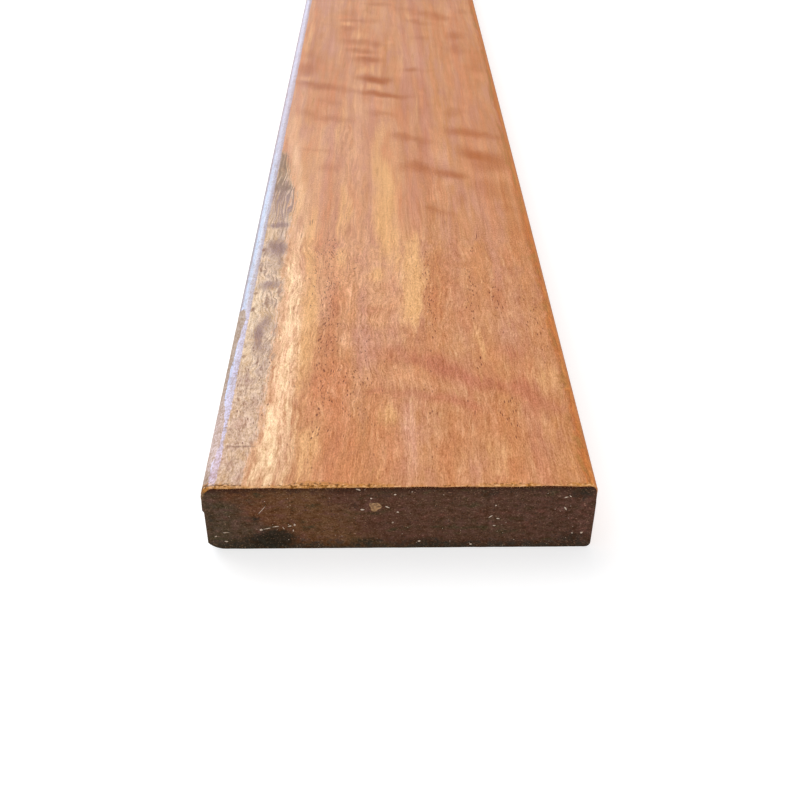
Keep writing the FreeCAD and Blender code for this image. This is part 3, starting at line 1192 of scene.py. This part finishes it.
class Effects:
    """Node groups that several finishes share. Each is built once."""

    def __init__(self) -> None:
        """Build every group."""
        any_place = {"Place": ("Vector", None)}
        dash = {"Width": ("Float", 0.8), "Length": ("Float", 4.0), "Share": ("Float", 0.3)}
        size = {"Size": ("Vector", (10.0, 10.0, 10.0))}
        self.fibre_tree = self.build("wood_fibres", any_place, self.fibre_recipe)
        self.pore_tree = self.build("open_pores", any_place | dash, self.pore_recipe)
        self.mottle_tree = self.build("uneven_colour", any_place | size, self.mottle_recipe)

    @staticmethod
    def build(
        name: str, inputs: dict[str, tuple[str, object]], recipe: Callable[..., dict[str, Value]]
    ) -> bpy.types.NodeTree:
        """Build a group.

        Args:
            name: the group's name.
            inputs: type and default value of each input, by name.
            recipe: takes the inputs in order, and gives the outputs by name.

        Returns:
            The group.
        """
        tree = bpy.data.node_groups.new(name, "ShaderNodeTree")
        for label, (kind, default) in inputs.items():
            socket = tree.interface.new_socket(label, in_out="INPUT", socket_type="NodeSocket" + kind)
            if default is not None:
                socket.default_value = default
        graph, entry = Graph(tree), tree.nodes.new("NodeGroupInput")
        made = recipe(*(Value(graph, entry.outputs[label]) for label in inputs))
        for label in made:
            tree.interface.new_socket(label, in_out="OUTPUT", socket_type="NodeSocketFloat")
        out = tree.nodes.new("NodeGroupOutput")
        for label, value in made.items():
            graph.feed(out.inputs[label], value)
        return tree

    @staticmethod
    def fibre_recipe(place: Value) -> dict[str, Value]:
        """Fibres along Y: streaky noise at four sizes, each about 0 in the middle and up to ±1.

        Args:
            place: where to read it, in millimetres.

        Returns:
            The four noises.
        """
        sizes = {
            "Coarse": (2.8, 42.0, 2.8),
            "Medium": (1.0, 7.0, 1.0),
            "Thread": (0.5, 15.0, 0.5),
            "Fine": (0.34, 2.6, 0.34),
        }
        return {label: place.noise(size, rough=0.6).line(4.0, -2.0) for label, size in sizes.items()}

    @staticmethod
    def pore_recipe(place: Value, width: Value, length: Value, share: Value) -> dict[str, Value]:
        """Open pores: dark dashes, one to a cell of a long Voronoi pattern, in a share of the cells.

        Args:
            place: where to read it, in millimetres.
            width: width of a cell.
            length: length of a cell.
            share: share of the cells that hold a pore.

        Returns:
            The mask of the pores.
        """
        graph = place.graph
        scaled = graph.vector("DIVIDE", place, graph.combine(width, length, width))
        cells = graph.node("TexVoronoi", {"Vector": scaled, "Scale": 1.0})
        colour, distance = (Value(graph, cells.outputs[name]) for name in ("Color", "Distance"))
        draw = graph.value("SeparateColor", {0: colour})
        return {"Mask": distance.between(0.16, 0.40, 1.0, 0.0) * (share - draw).between(0.0, 0.3)}

    @staticmethod
    def mottle_recipe(place: Value, size: Value) -> dict[str, Value]:
        """Soft uneven colour: noise of a given size, about 0 in the middle and up to ±1."""
        return {"Value": place.noise(size, detail=3.0, rough=0.55).line(4.0, -2.0)}

    def fibres(self, place: Value) -> list[Value]:
        """Coarse, medium, thread and fine fibres at a place."""
        return place.graph.group(self.fibre_tree, place=place)

    def pores(self, place: Value, width: float, length: float, share: "Value | float") -> Value:
        """Mask of the open pores at a place."""
        return place.graph.group(self.pore_tree, place=place, width=width, length=length, share=share)[0]

    def mottle(self, place: Value, across: float, along: float, up: float | None = None) -> Value:
        """Uneven colour at a place, as large as the three sizes. Up is the same as across by default."""
        size = (across, along, across if up is None else up)
        return place.graph.group(self.mottle_tree, place=place, size=size)[0]


def new_material(name: str) -> tuple[bpy.types.Material, Graph, bpy.types.Node]:
    """Start a material.

    Args:
        name: its name.

    Returns:
        The material, its graph and its Principled BSDF.
    """
    material = bpy.data.materials.new(name)
    material.use_nodes = True
    return material, Graph(material.node_tree), material.node_tree.nodes["Principled BSDF"]


@dataclass(frozen=True)
class Wood:
    """What each step of the planed finish reads: a place on the board, and the grain there."""

    place: Value
    flow: Value
    x: Value
    along: Value
    inside: Value
    sap: Value
    coarse: Value
    medium: Value
    thread: Value
    fine: Value
    crisp: Value
    squiggle: Value
    tint: Value
    grit: Value

    def mask(self, name: str) -> Value:
        """One of the board's masks."""
        return self.place.graph.mask(name)


@dataclass(frozen=True)
class PlanedFinish:
    """Oiled, planed hardwood. Colours are display colours, turned linear by srgb()."""

    effects: Effects
    length: float
    shown: float = 400.0
    umber: Colour = srgb(199, 136, 90)
    tan: Colour = srgb(215, 157, 115)
    rose: Colour = srgb(193, 122, 94)
    russet: Colour = srgb(186, 113, 76)
    ochre: Colour = srgb(199, 131, 74)
    peach: Colour = srgb(223, 163, 122)
    orange: Colour = srgb(205, 126, 77)
    lilac: Colour = srgb(205, 146, 117)
    gold: Colour = srgb(229, 172, 113)
    cream: Colour = srgb(253, 216, 168)
    cream_rose: Colour = srgb(238, 178, 138)
    bar: Colour = srgb(170, 90, 32)
    bar_rose: Colour = srgb(180, 92, 70)
    sapwood: Colour = srgb(237, 206, 176)
    sapwood_dark: Colour = srgb(170, 134, 112)
    sapwood_tan: Colour = srgb(221, 182, 135)
    sapwood_red: Colour = srgb(232, 176, 132)
    sapwood_rose: Colour = srgb(196, 150, 128)
    sapwood_pale: Colour = srgb(250, 222, 186)
    stain: Colour = srgb(150, 117, 112)
    stain_olive: Colour = srgb(142, 112, 88)
    pore: Colour = srgb(104, 38, 12)
    border: Colour = srgb(184, 98, 36)
    border_olive: Colour = srgb(168, 110, 50)
    # Painted highlight on the right round.
    edge: Colour = srgb(222, 138, 70)
    # The four colours below are painted reflection of the blue window on the burnished left round, over the
    # wood's own paler colour.
    burnished_painted_sheen: Colour = srgb(166, 146, 154)
    pink_painted_sheen: Colour = srgb(196, 164, 180)
    near_painted_sheen: Colour = srgb(180, 166, 192)
    far_painted_sheen: Colour = srgb(190, 162, 166)
    worn: Colour = srgb(176, 150, 132)
    worn_near: Colour = srgb(206, 178, 168)
    scorched: Colour = srgb(196, 130, 50)
    singed: Colour = srgb(96, 56, 14)
    smoked: Colour = srgb(98, 78, 56)
    # Pale torn fibre; on the lip it also stands for a painted highlight.
    torn: Colour = srgb(240, 190, 136)

    def flow(self, place: Value, sap: Value) -> Value:
        """Take the grain's waver out of a place, so that straight noise read there follows the grain.

        The waver is slow and slight in heartwood, and tight and curly in sapwood. Past 120 mm the fibres run
        longer, so the distance along the grain grows at a third of the rate.

        Args:
            place: place on the board.
            sap: 1 in the sapwood and 0 in the heartwood.

        Returns:
            The place to read the noise at.
        """
        graph = place.graph
        x, y, z = place.parts()
        place = graph.combine(x, y.plus(((y - 120.0).at_least(0.0), -0.66)), z)
        half = (0.5, 0.5, 0.5)
        slow = graph.vector("SUBTRACT", place.noise((20.0, 44.0, 20.0), output="Color"), half)
        curl = graph.vector("SUBTRACT", place.noise((2.8, 5.0, 2.8), 1.0, output="Color"), half)
        swing = graph.vector("MULTIPLY", slow, (7.0, 0.0, 7.0))
        amount = sap.line(1.6, 1.0).plus((graph.mask("curl"), 1.6))
        swirl = graph.vector("MULTIPLY", curl, (1.0, 1.4, 1.0))
        swirl = graph.vector("MULTIPLY", swirl, graph.combine(amount, amount, amount))
        return graph.vector("ADD", graph.vector("ADD", place, swing), swirl)

    def squiggles(self, place: Value) -> Value:
        """Curly lines along the grain, 1.15 mm apart: sin(2π(x + bend) / 1.15), from -1 to 1."""
        bend = self.effects.mottle(place, 3.6, 13.0)
        return place.graph.math("SINE", (bend + place.parts()[0]) * 5.46)

    def ripple(self, place: Value) -> Value:
        """Make the fiddleback ripple.

        Args:
            place: the place to read it at.

        Returns:
            Noise long across the board and short along it, falling to the right, times the ripple mask.
        """
        x, y, z = place.parts()
        tilted = place.graph.combine(x, y.plus((x, 0.22)), z)
        return self.effects.mottle(tilted, 11.0, 2.4) * place.graph.mask("ripple")

    def hues(self, place: Value, across: float, along: float) -> list[Value]:
        """Three unlike noises of one size, each about 0 in the middle and up to ±1."""
        noise = place.noise((across, along, across), rough=0.6, output="Color")
        return place.graph.vector("MULTIPLY_ADD", noise, (4.0,) * 3, (-2.0,) * 3).parts()

    def read(self, graph: Graph) -> Wood:
        """Work out what the other steps read.

        Args:
            graph: the material's graph.

        Returns:
            The grain at each place. The sapwood's edge is broken up by noise before it is sharpened, and the
            fibres soften along the photographed stretch.
        """
        place = graph.place(self.length)
        x, along, _ = place.parts()
        inside = self.effects.mottle(place, 1.8, 8.0).line(1.3, graph.mask("sapwood"))
        sap = inside.between(-0.8, 1.0)
        flow = self.flow(place, sap)
        coarse, medium, thread, fine = self.effects.fibres(flow)
        past_shown = along.between(self.shown, self.shown + 80, 0.0, 0.8)
        crisp = along.between(80.0, 185.0, 1.0, 0.2).at_least(past_shown)
        tint = self.effects.mottle(flow, 2.2, 6.5)
        grit = place.noise((0.28, 0.7, 0.28), 1.0)
        squiggle = self.squiggles(flow)
        return Wood(
            place, flow, x, along, inside, sap, coarse, medium, thread, fine, crisp, squiggle, tint, grit
        )

    def heartwood(self, wood: Wood) -> Value:
        """Colour the heartwood.

        Args:
            wood: the grain.

        Returns:
            Umber to tan ground, then its streaks, golden patches, cream band and fiddleback bars.
        """
        along, mask = wood.along, wood.mask
        medium, thread = wood.medium * wood.crisp, wood.thread * wood.crisp
        wide = self.hues(wood.flow, 9.0, 24.0)
        broad = self.hues(wood.flow, 4.0, 60.0)
        narrow = self.hues(wood.flow, 1.8, 18.0)
        patch = self.effects.mottle(wood.flow, 3.4, 9.0)
        light = mask("light").plus((broad[0], 0.3), (narrow[0], 0.25), (medium, 0.12))
        ground = light.between(-0.1, 1.15).blend(self.umber, self.tan)
        tone = mask("tone").plus((broad[1], 0.3), (narrow[1], 0.3), (medium, 0.12), (wide[0], 0.5))
        ground = ground.tinted(tone, 0.6, self.ochre, self.rose)
        more = along.between(80.0, 150.0, 1.0, 2.8)
        warm = mask("warm").plus((broad[2], 0.25), (wide[1], 0.58))
        warm = warm.plus((narrow[2] * more, 0.2), (patch * more, 0.36))
        ground = ground.tinted(warm, 0.75, self.orange, self.lilac)
        patch = patch.plus((medium, 0.3), (narrow[0], 0.35))
        ground = ground.tinted(patch, 0.4, self.peach, self.russet)

        gold = mask("gold").plus((broad[1], 0.2), (narrow[0], 0.24), (thread, 0.16))
        ground = ground.toward(self.gold, gold.between(0.05, 1.1, 0.0, 0.9))
        lines = thread * along.between(8.0, 30.0, 0.12, 0.26)
        cream = mask("cream").plus((medium, 0.15), (lines, 1.0), (narrow[1], 0.2))
        calm = along.between(8.0, 26.0, 0.22, 0.0)
        lines = calm.plus((lines, 1.0), (narrow[0], 0.16), (patch, 0.1))
        streaky = lines.between(-0.45, 0.35).blend(self.cream_rose, self.cream)
        ground = ground.toward(streaky, cream.between(0.1, 1.0))

        bars = mask("figure").plus((self.ripple(wood.flow), 1.0), (medium, 0.06), (narrow[2], 0.06))
        bar = along.between(60.0, 110.0).blend(self.bar_rose, self.bar)
        return ground.toward(bar, bars * 0.66).shaded((bars * -0.2).at_least(0.0))

    def sapwood_colour(self, wood: Wood) -> Value:
        """Colour the sapwood.

        Args:
            wood: the grain.

        Returns:
            Pale wood with curly lines, dotted near the cut, redder by the heartwood and then stained.
        """
        along = wood.along
        lines = wood.squiggle * along.between(35.0, 70.0, 0.12, 0.55)
        dots = self.effects.mottle(wood.place, 0.9, 1.3) * along.between(30.0, 60.0, 0.9, 0.1)
        curly = (lines + dots).plus((wood.fine, 0.45), (wood.medium, 0.5)).between(-1.3, 0.9)
        pale = curly.blend(self.sapwood_dark, self.sapwood)
        shade = along.between(22.0, 60.0).blend(self.sapwood_rose, self.stain)
        pale = pale.tinted(wood.tint, 0.7, self.sapwood_tan, shade)
        by_edge = wood.x.between(-38.0, -39.5) * along.between(45.0, 60.0)
        by_edge *= along.between(100.0, 85.0, 0.0, 0.4)
        pale = pale.toward(self.sapwood_pale, by_edge)
        pale = pale.toward(self.sapwood_rose, along.between(22.0, 50.0, 0.26, 0.0))
        by_heartwood = wood.inside.plus((wood.thread, 1.2)).between(2.4, 0.2, 0.0, 0.7)
        pale = pale.toward(self.sapwood_red, by_heartwood)
        stain = wood.mask("stain").plus((wood.fine, 0.25))
        stain = stain.plus((wood.squiggle, along.between(120.0, 150.0, 0.15, 0.5)))
        stained = along.between(146.0, 166.0).blend(self.stain, self.stain_olive)
        return pale.toward(stained, stain.between(0.15, 0.95, 0.0, 0.9))

    def right_border(self, wood: Wood, ground: Value) -> Value:
        """Darken the strip along the right arris, and paint a highlight on the arris itself.

        Args:
            wood: the grain.
            ground: colour so far.

        Returns:
            The colour with the border.
        """
        border = wood.mask("border").plus((wood.medium, 0.35), (wood.thread, 0.25), (wood.tint, 0.45))
        strip = wood.tint.between(-0.3, 0.6).blend(self.border, self.border_olive)
        ground = ground.toward(strip, border.between(0.15, 1.1, 0.0, 0.85))
        # Painted highlight along the right round.
        return ground.toward(self.edge, wood.x.plus((wood.medium, 0.5)).between(43.0, 43.9, 0.0, 0.6))

    def left_round(self, wood: Wood, ground: Value) -> tuple[Value, Value]:
        """Colour the left round: worn grey all over, and lilac where it is burnished, a painted reflection of
        the blue window over the burnished wood's paler colour.

        Args:
            wood: the grain.
            ground: colour so far.

        Returns:
            The colour with the round, and the strength of the burnished part's sheen.
        """
        along, mask = wood.along, wood.mask
        ragged = wood.grit.line(0.5, -0.25).plus((wood.medium, 0.10))
        sheen, worn = ((ragged + mask(name)).between(0.35, 0.55) for name in ("burnish_and_painted_sheen", "rounded"))
        speck = self.effects.mottle(wood.place, 0.5, 0.8)
        cross = self.effects.mottle(wood.place, 3.0, 3.2)
        outer = along.between(0.0, 14.0).blend(self.worn, self.worn_near)
        outer = outer.toward(self.worn, along.between(18.0, 44.0))
        ground = ground.toward(outer, worn * 0.85)
        # Painted reflection: the lilac and blue-white that the burnished round shows where it mirrors the
        # window, paler far off.
        lilac = along.between(6.0, 22.0).blend(self.pink_painted_sheen, self.near_painted_sheen)
        lilac = lilac.toward(self.burnished_painted_sheen, along.between(68.0, 84.0))
        lilac = lilac.toward(self.far_painted_sheen, along.between(120.0, 260.0))
        ground = ground.toward(lilac, sheen * 0.85)
        rough = worn * along.between(20.0, 90.0, 0.42, 0.22)
        ground = ground.shaded((speck * rough).plus((cross * worn, 0.14)))
        sheen *= along.between(120.0, 240.0, 1.0, 0.26)
        sheen *= speck.between(-0.1, -0.9, 1.0, 0.4)
        sheen *= cross.between(-0.2, -1.0, 1.0, 0.35)
        return ground, sheen

    def fibre_shade(self, wood: Wood) -> Value:
        """Shade the wood by its fibres.

        Args:
            wood: the grain.

        Returns:
            How much lighter or darker it is: fibres and curls where the wood is crisp, curly or sapwood, and
            grit and coarse streaks everywhere.
        """
        along, sap, curl = wood.along, wood.sap, wood.mask("curl")
        fibres = (wood.medium * 0.16).plus((wood.squiggle * curl, 0.15))
        fibres = fibres.plus((wood.thread, sap.line(-0.12, 0.16)), (wood.fine, sap.line(-0.06, 0.24)))
        streak = fibres * wood.crisp.at_least(curl * 0.7).at_least(sap * 0.9)
        grit = along.between(170, 300, 1.0, 0.4)
        coarse = along.between(60, 120, 0.3, 1.0) * along.between(190, 250, 1.0, 0.6)
        return streak.plus((wood.grit - 0.5, grit), (wood.coarse * coarse, 0.14))

    def open_pores(self, wood: Wood) -> Value:
        """Mask of the open pores: many near the cut end, few further along the photographed stretch."""
        past_shown = wood.along.between(self.shown, self.shown + 60, 0.0, 0.7)
        share = wood.mask("pores") * (wood.along.between(110.0, 190.0, 0.85, 0.06) + past_shown)
        return self.effects.pores(wood.flow, 0.55, 2.1, share)

    def rim(self, wood: Wood, ground: Value) -> Value:
        """Colour the last millimetres before the cut.

        Args:
            wood: the grain.
            ground: colour so far.

        Returns:
            The colour with mossy, scorched stretches, dark bits, pale torn crumbs and a thin pale lip, which
            is the torn fibres' colour with a painted highlight along the cut arris.
        """
        along, worn = wood.along, wood.mask("rim")
        low = wood.mask("below_face").between(0.8, 2.2)
        scorched = low.blend(self.scorched, self.smoked)
        patch = self.effects.mottle(wood.place, 1.8, 1.2, 1.6)
        bits = self.effects.mottle(wood.place, 0.8, 0.6, 0.5)
        back = along.plus((patch, -1.1), (wood.fine, -0.5), (worn, -2.0))
        ground = ground.toward(scorched, back.between(-1.6, 0.7, 0.85, 0.0))
        dark = bits.plus((worn, 0.85), (along, -0.45))
        ground = ground.toward(self.singed, dark.between(0.15, 0.75, 0.0, 0.85))
        crumbs = along.plus((bits, 2.6), (worn, -0.8))
        ground = ground.toward(self.torn, crumbs.between(-0.6, -1.6, 0.0, 0.8))
        singe = (worn * 0.75).plus((bits, 0.5), (patch, 0.3))
        colour = low.blend(self.torn, self.smoked).toward(scorched, singe)
        share = worn.plus((bits, 0.8), (patch, 0.6)).between(0.0, 1.0, 0.08, 0.85)
        # The lip: torn fibre colour, with a painted highlight along the cut arris.
        lip = along.plus((wood.grit, -0.9), (patch, 0.5), (bits, 0.3)).between(-0.2, 0.25, 1.0, 0.0)
        return ground.toward(colour, lip * share)

    def build(self) -> bpy.types.Material:
        """Make the material.

        Returns:
            The material: colour from the board's masks and from noise, and a fine bump along the fibres.
        """
        material, graph, shader = new_material("planed_hardwood")
        wood = self.read(graph)
        ground = self.heartwood(wood).toward(self.sapwood_colour(wood), wood.sap)
        ground = self.right_border(wood, ground)
        ground, sheen = self.left_round(wood, ground)
        ground = ground.shaded(self.fibre_shade(wood))
        pores = self.open_pores(wood)
        checks = wood.mask("checks").plus((wood.thread, 0.2)).between(0.3, 0.9, 0.0, 0.6)
        ground = ground.toward(self.pore, (pores * 0.85).at_least(checks))
        graph.feed(shader.inputs["Base Color"], self.rim(wood, ground))
        graph.feed(shader.inputs["Roughness"], wood.sap.line(0.1, 0.50).plus((wood.fine, 0.05)))
        graph.feed(shader.inputs["Normal"], graph.bump(wood.fine.plus((pores, -0.2)), 0.35, 0.06))
        graph.feed(shader.inputs["Coat Weight"], sheen)
        shader.inputs["Coat Roughness"].default_value = 0.22
        shader.inputs["Specular IOR Level"].default_value = 0.14
        return material


@dataclass(frozen=True)
class CutEndFinish:
    """End grain, dark brown of its own and darker still by painted shade, the shade that falls on the end."""

    effects: Effects
    length: float
    thickness: float
    # These colours and those below hold the end grain's own brown darkened by painted shade.
    bands: tuple[tuple[float, Colour], ...] = (
        (-44.0, srgb(84, 66, 50)),
        (-35.0, srgb(88, 64, 47)),
        (-31.0, srgb(104, 66, 40)),
        (-17.0, srgb(110, 75, 47)),
        (-7.0, srgb(92, 60, 45)),
        (12.0, srgb(90, 62, 46)),
        (40.0, srgb(86, 58, 45)),
    )
    russet: Colour = srgb(104, 62, 48)
    moss: Colour = srgb(74, 66, 44)
    green_black: Colour = srgb(48, 43, 32)
    blot_black: Colour = srgb(38, 34, 24)
    brown_black: Colour = srgb(54, 30, 16)
    plum: Colour = srgb(94, 60, 54)
    fleck: Colour = srgb(172, 128, 96)
    singed: Colour = srgb(66, 20, 0)

    def ground(self, across: Value) -> Value:
        """Colour the ground.

        Args:
            across: x of each place, in millimetres.

        Returns:
            Brown that changes across the board, through the colours of the bands.
        """
        low, high = self.bands[0][0], self.bands[-1][0]
        node = across.graph.node("ValToRGB", {0: across.line(1 / (high - low), -low / (high - low))})
        ramp = node.color_ramp
        for index, (place, colour) in enumerate(self.bands):
            share = (place - low) / (high - low)
            stop = ramp.elements[index] if index < 2 else ramp.elements.new(share)
            stop.position, stop.color = share, colour
        return Value(across.graph, node.outputs[0])

    def rimmed(self, ground: Value, height: Value, wavy: Value) -> Value:
        """Darken the end along its upper and lower arris.

        Args:
            ground: colour so far.
            height: height above the underside.
            wavy: what the rim's inner side wavers by, in millimetres.

        Returns:
            The colour, brown-black by the face and green-black below.
        """
        from_middle = height.graph.math("ABSOLUTE", height - self.thickness / 2)
        strength = height.between(8.0, 14.0, 0.85, 0.9)
        shade = height.between(9.0, 13.0).blend(self.green_black, self.brown_black)
        return ground.toward(shade, (from_middle + wavy).between(6.6, 9.6, 0.0, strength))

    def build(self) -> bpy.types.Material:
        """Make the material.

        Returns:
            The material: mottled browns, darker along the arrises, with pores and pale fibre ends.
        """
        material, graph, shader = new_material("cut_end_grain")
        place = graph.place(self.length)
        x, _, height = place.parts()
        wide = self.effects.mottle(place, 9.0, 9.0, 4.0)
        blotch = self.effects.mottle(place, 2.6, 2.6, 1.4)
        small = self.effects.mottle(place, 1.3, 1.3, 0.8)
        tiny = self.effects.mottle(place, 0.34, 0.34, 0.26)
        ground = self.ground(x.plus((wide, 6.0), (height - self.thickness / 2, 0.7)))
        ground = ground.toward(self.plum, blotch * 0.6)
        mixed = wide.plus((blotch, 0.8))
        ground = ground.toward(self.russet, mixed.between(0.0, 1.3, 0.0, 0.7))
        ground = ground.toward(self.moss, mixed.between(-0.1, -1.3, 0.0, 0.85))
        ground = self.rimmed(ground, height, (small * 0.7).plus((wide, 0.8), (blotch, 1.5)))
        blot = graph.mask("blot").plus((small, 0.35)).between(0.15, 1.0, 0.0, 0.9)
        ground = ground.toward(self.blot_black, blot)
        ground = ground.toward(self.fleck, tiny.between(0.25, 1.3, 0.0, 0.7))
        ground = ground.shaded((tiny * 0.46).plus((small, 0.36), (blotch, 0.34)))
        pores = self.effects.pores(place, 0.6, 0.6, 0.45)
        ground = ground.toward(self.green_black, pores * 0.65)
        arris = graph.mask("below_face").plus((small, 0.3))
        ground = ground.toward(self.singed, arris.between(0.3, 1.1, 0.95, 0.0))
        graph.feed(shader.inputs["Base Color"], ground)
        graph.feed(shader.inputs["Roughness"], tiny.line(0.05, 0.8))
        graph.feed(shader.inputs["Normal"], graph.bump(tiny.plus((small, 0.8), (pores, -1.0)), 0.8, 0.12))
        shader.inputs["Specular IOR Level"].default_value = 0.12
        return material


@dataclass(frozen=True)
class MottledFinish:
    """A plain rough finish of two colours: torn fibre, sawdust or dried resin."""

    effects: Effects
    length: float
    name: str
    light: Colour
    dark: Colour
    grain: tuple[float, float, float]
    rough: float

    def build(self) -> bpy.types.Material:
        """Make the material.

        Returns:
            The material: light and dark mixed by noise of the given grain.
        """
        material, graph, shader = new_material(self.name)
        value = self.effects.mottle(graph.place(self.length), *self.grain)
        graph.feed(shader.inputs["Base Color"], value.between(-0.8, 0.8).blend(self.dark, self.light))
        graph.feed(shader.inputs["Roughness"], value.line(0.06, self.rough))
        return material


@dataclass(frozen=True)
class Lamp:
    """A soft area lamp, placed in metres and aimed at a point."""

    name: str
    place: tuple[float, float, float]
    aim: tuple[float, float, float]
    size: tuple[float, float]
    radiance: float
    colour: tuple[float, float, float] = (1.0, 1.0, 1.0)

    def build(self) -> bpy.types.Object:
        """Make the lamp.

        Returns:
            The lamp, whose power is pi times its area times its radiance.
        """
        data = bpy.data.lights.new(self.name, "AREA")
        data.shape = "RECTANGLE"
        data.size, data.size_y = self.size
        data.energy = math.pi * self.size[0] * self.size[1] * self.radiance
        data.color = self.colour
        lamp = bpy.data.objects.new(self.name, data)
        bpy.context.scene.collection.objects.link(lamp)
        lamp.location = self.place
        lamp.rotation_euler = (Vector(self.aim) - Vector(self.place)).to_track_quat("-Z", "Y").to_euler()
        lamp.visible_camera = False
        return lamp


@dataclass(frozen=True)
class PhotoCamera:
    """The photograph's camera, placed from the board's near end. Angles are in degrees, sizes in metres."""

    place: tuple[float, float, float] = (-0.0029, -0.17537, 0.17144)
    yaw: float = 0.958
    pitch: float = 36.185
    roll: float = -0.273
    lens: float = 46.38
    sensor: float = 36.0

    def build(self, near_end: float) -> bpy.types.Object:
        """Make the camera.

        Args:
            near_end: y of the photographed end.

        Returns:
            The camera, which looks along yaw and pitch, turned by roll about its own axis.
        """
        data = bpy.data.cameras.new("photo_camera")
        data.sensor_width = self.sensor
        data.lens = self.lens
        data.clip_start, data.clip_end = 0.01, 100.0
        camera = bpy.data.objects.new("photo_camera", data)
        bpy.context.scene.collection.objects.link(camera)
        yaw, pitch, roll = (math.radians(angle) for angle in (self.yaw, self.pitch, self.roll))
        forward = Vector((math.sin(yaw) * math.cos(pitch), math.cos(yaw) * math.cos(pitch), -math.sin(pitch)))
        level = Vector((math.cos(yaw), -math.sin(yaw), 0.0))
        down = forward.cross(level)
        right = level * math.cos(roll) + down * math.sin(roll)
        up = -(down * math.cos(roll) - level * math.sin(roll))
        turned = Matrix((right, up, -forward)).transposed().to_4x4()
        camera.matrix_world = Matrix.Translation(Vector(self.place) + Vector((0.0, near_end, 0.0))) @ turned
        bpy.context.scene.camera = camera
        return camera


@dataclass(frozen=True)
class Studio:
    """Pale floor, soft light and a white surround."""

    near_end: float
    floor_size: float = 60.0
    floor_colour: Colour = (0.62, 0.62, 0.62, 1.0)
    floor_glow: float = 0.55
    sky: Colour = (0.97, 0.98, 1.0, 1.0)
    sky_strength: float = 0.55
    white: Colour = (1.0, 1.0, 1.0, 1.0)

    def lamps(self) -> tuple[Lamp, ...]:
        """Choose the lamps.

        Returns:
            The key above and behind on the left, a fill before the cut end, and a low blue window on the
            left, which the left round mirrors.
        """
        warm, blue = (1.0, 0.98, 0.95), (0.42, 0.70, 1.0)
        return (
            Lamp("key_light", (-1.4, 1.3, 2.6), (0.0, -0.3, 0.0), (3.2, 3.2), 2.51, warm),
            Lamp("fill_light", (0.4, -3.4, 0.9), (0.0, -0.9, 0.0), (2.6, 1.4), 2.8, warm),
            Lamp("window_light", (-1.65, 2.4, 0.80), (0.0, -0.6, 0.02), (2.6, 1.6), 3.9, blue),
        )

    def floor_material(self) -> bpy.types.Material:
        """Make the floor's material.

        Returns:
            Pale diffuse grey that adds its own glow to camera rays only, so that it shows nearly white.
        """
        material, graph, shader = new_material("pale_floor")
        graph.tree.nodes.remove(shader)
        diffuse = graph.value("BsdfDiffuse", {"Color": self.floor_colour})
        to_camera = graph.value("LightPath", output="Is Camera Ray")
        glow = graph.value("Emission", {"Strength": to_camera * self.floor_glow})
        both = graph.value("AddShader", {0: diffuse, 1: glow})
        graph.feed(graph.tree.nodes["Material Output"].inputs["Surface"], both)
        return material

    def build_floor(self) -> None:
        """Make the floor under the board."""
        half = self.floor_size / 2
        corners = np.array([[-half, -half, 0], [half, -half, 0], [half, half, 0], [-half, half, 0]]) / MM
        floor = Surface(corners, np.array([[0, 1, 2, 3]])).to_object("floor")
        floor.data.materials.append(self.floor_material())

    def build_world(self) -> None:
        """Make the world white to the camera, and a soft cool sky to everything else."""
        world = bpy.context.scene.world or bpy.data.worlds.new("studio")
        bpy.context.scene.world = world
        world.use_nodes = True
        graph = Graph(world.node_tree)
        background = graph.tree.nodes["Background"]
        to_camera = graph.value("LightPath", output="Is Camera Ray")
        graph.feed(background.inputs["Color"], to_camera.blend(self.sky, self.white))
        strength = to_camera.line(1.0 - self.sky_strength, self.sky_strength)
        graph.feed(background.inputs["Strength"], strength)

    def build(self) -> None:
        """Make the floor, the world, the lamps and the camera."""
        self.build_floor()
        self.build_world()
        for lamp in self.lamps():
            lamp.build()
        PhotoCamera().build(self.near_end)
        bpy.context.scene.view_settings.view_transform = "Standard"


def build_board() -> None:
    """Build the board's pieces inside the frame's box, dress them and report each."""
    low, high = (np.array(corner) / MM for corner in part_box(NODE))
    width, length, thickness = high - low
    section = Section(half_width=width / 2, thickness=thickness)
    board = BoardSurface(section, GrainMap(thickness), length)
    effects = Effects()
    planed = PlanedFinish(effects, length)
    cut = CutEndFinish(effects, length, thickness)
    torn = MottledFinish(
        effects, length, "torn_fibre", srgb(224, 160, 106), srgb(104, 58, 24), (0.7, 0.5, 0.3), 0.8
    )
    dust = MottledFinish(
        effects, length, "pale_sawdust", srgb(236, 216, 196), srgb(176, 150, 128), (0.5, 0.5, 0.5), 0.85
    )
    resin = MottledFinish(
        effects, length, "dried_resin", srgb(180, 137, 92), srgb(104, 72, 44), (0.6, 0.6, 0.5), 0.55
    )
    dressed = (
        (board, planed, cut),
        (TornFibres(section, length), torn),
        (EndCrumbs(section, length, board.recess), dust),
        (ResinSpot(length, board.recess), resin),
    )
    for part, *finishes in dressed:
        piece = dress(part.build(), *(finish.build() for finish in finishes))
        mesh = piece.data
        log.info("%s: %d faces, %d materials", piece.name, len(mesh.polygons), len(mesh.materials))


def main() -> None:
    """Build the board and the studio."""
    logging.basicConfig(level=logging.INFO, format="%(name)s: %(message)s")
    build_board()
    Studio(near_end=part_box(NODE)[0].y).build()


if __name__ == "__main__":
    main()
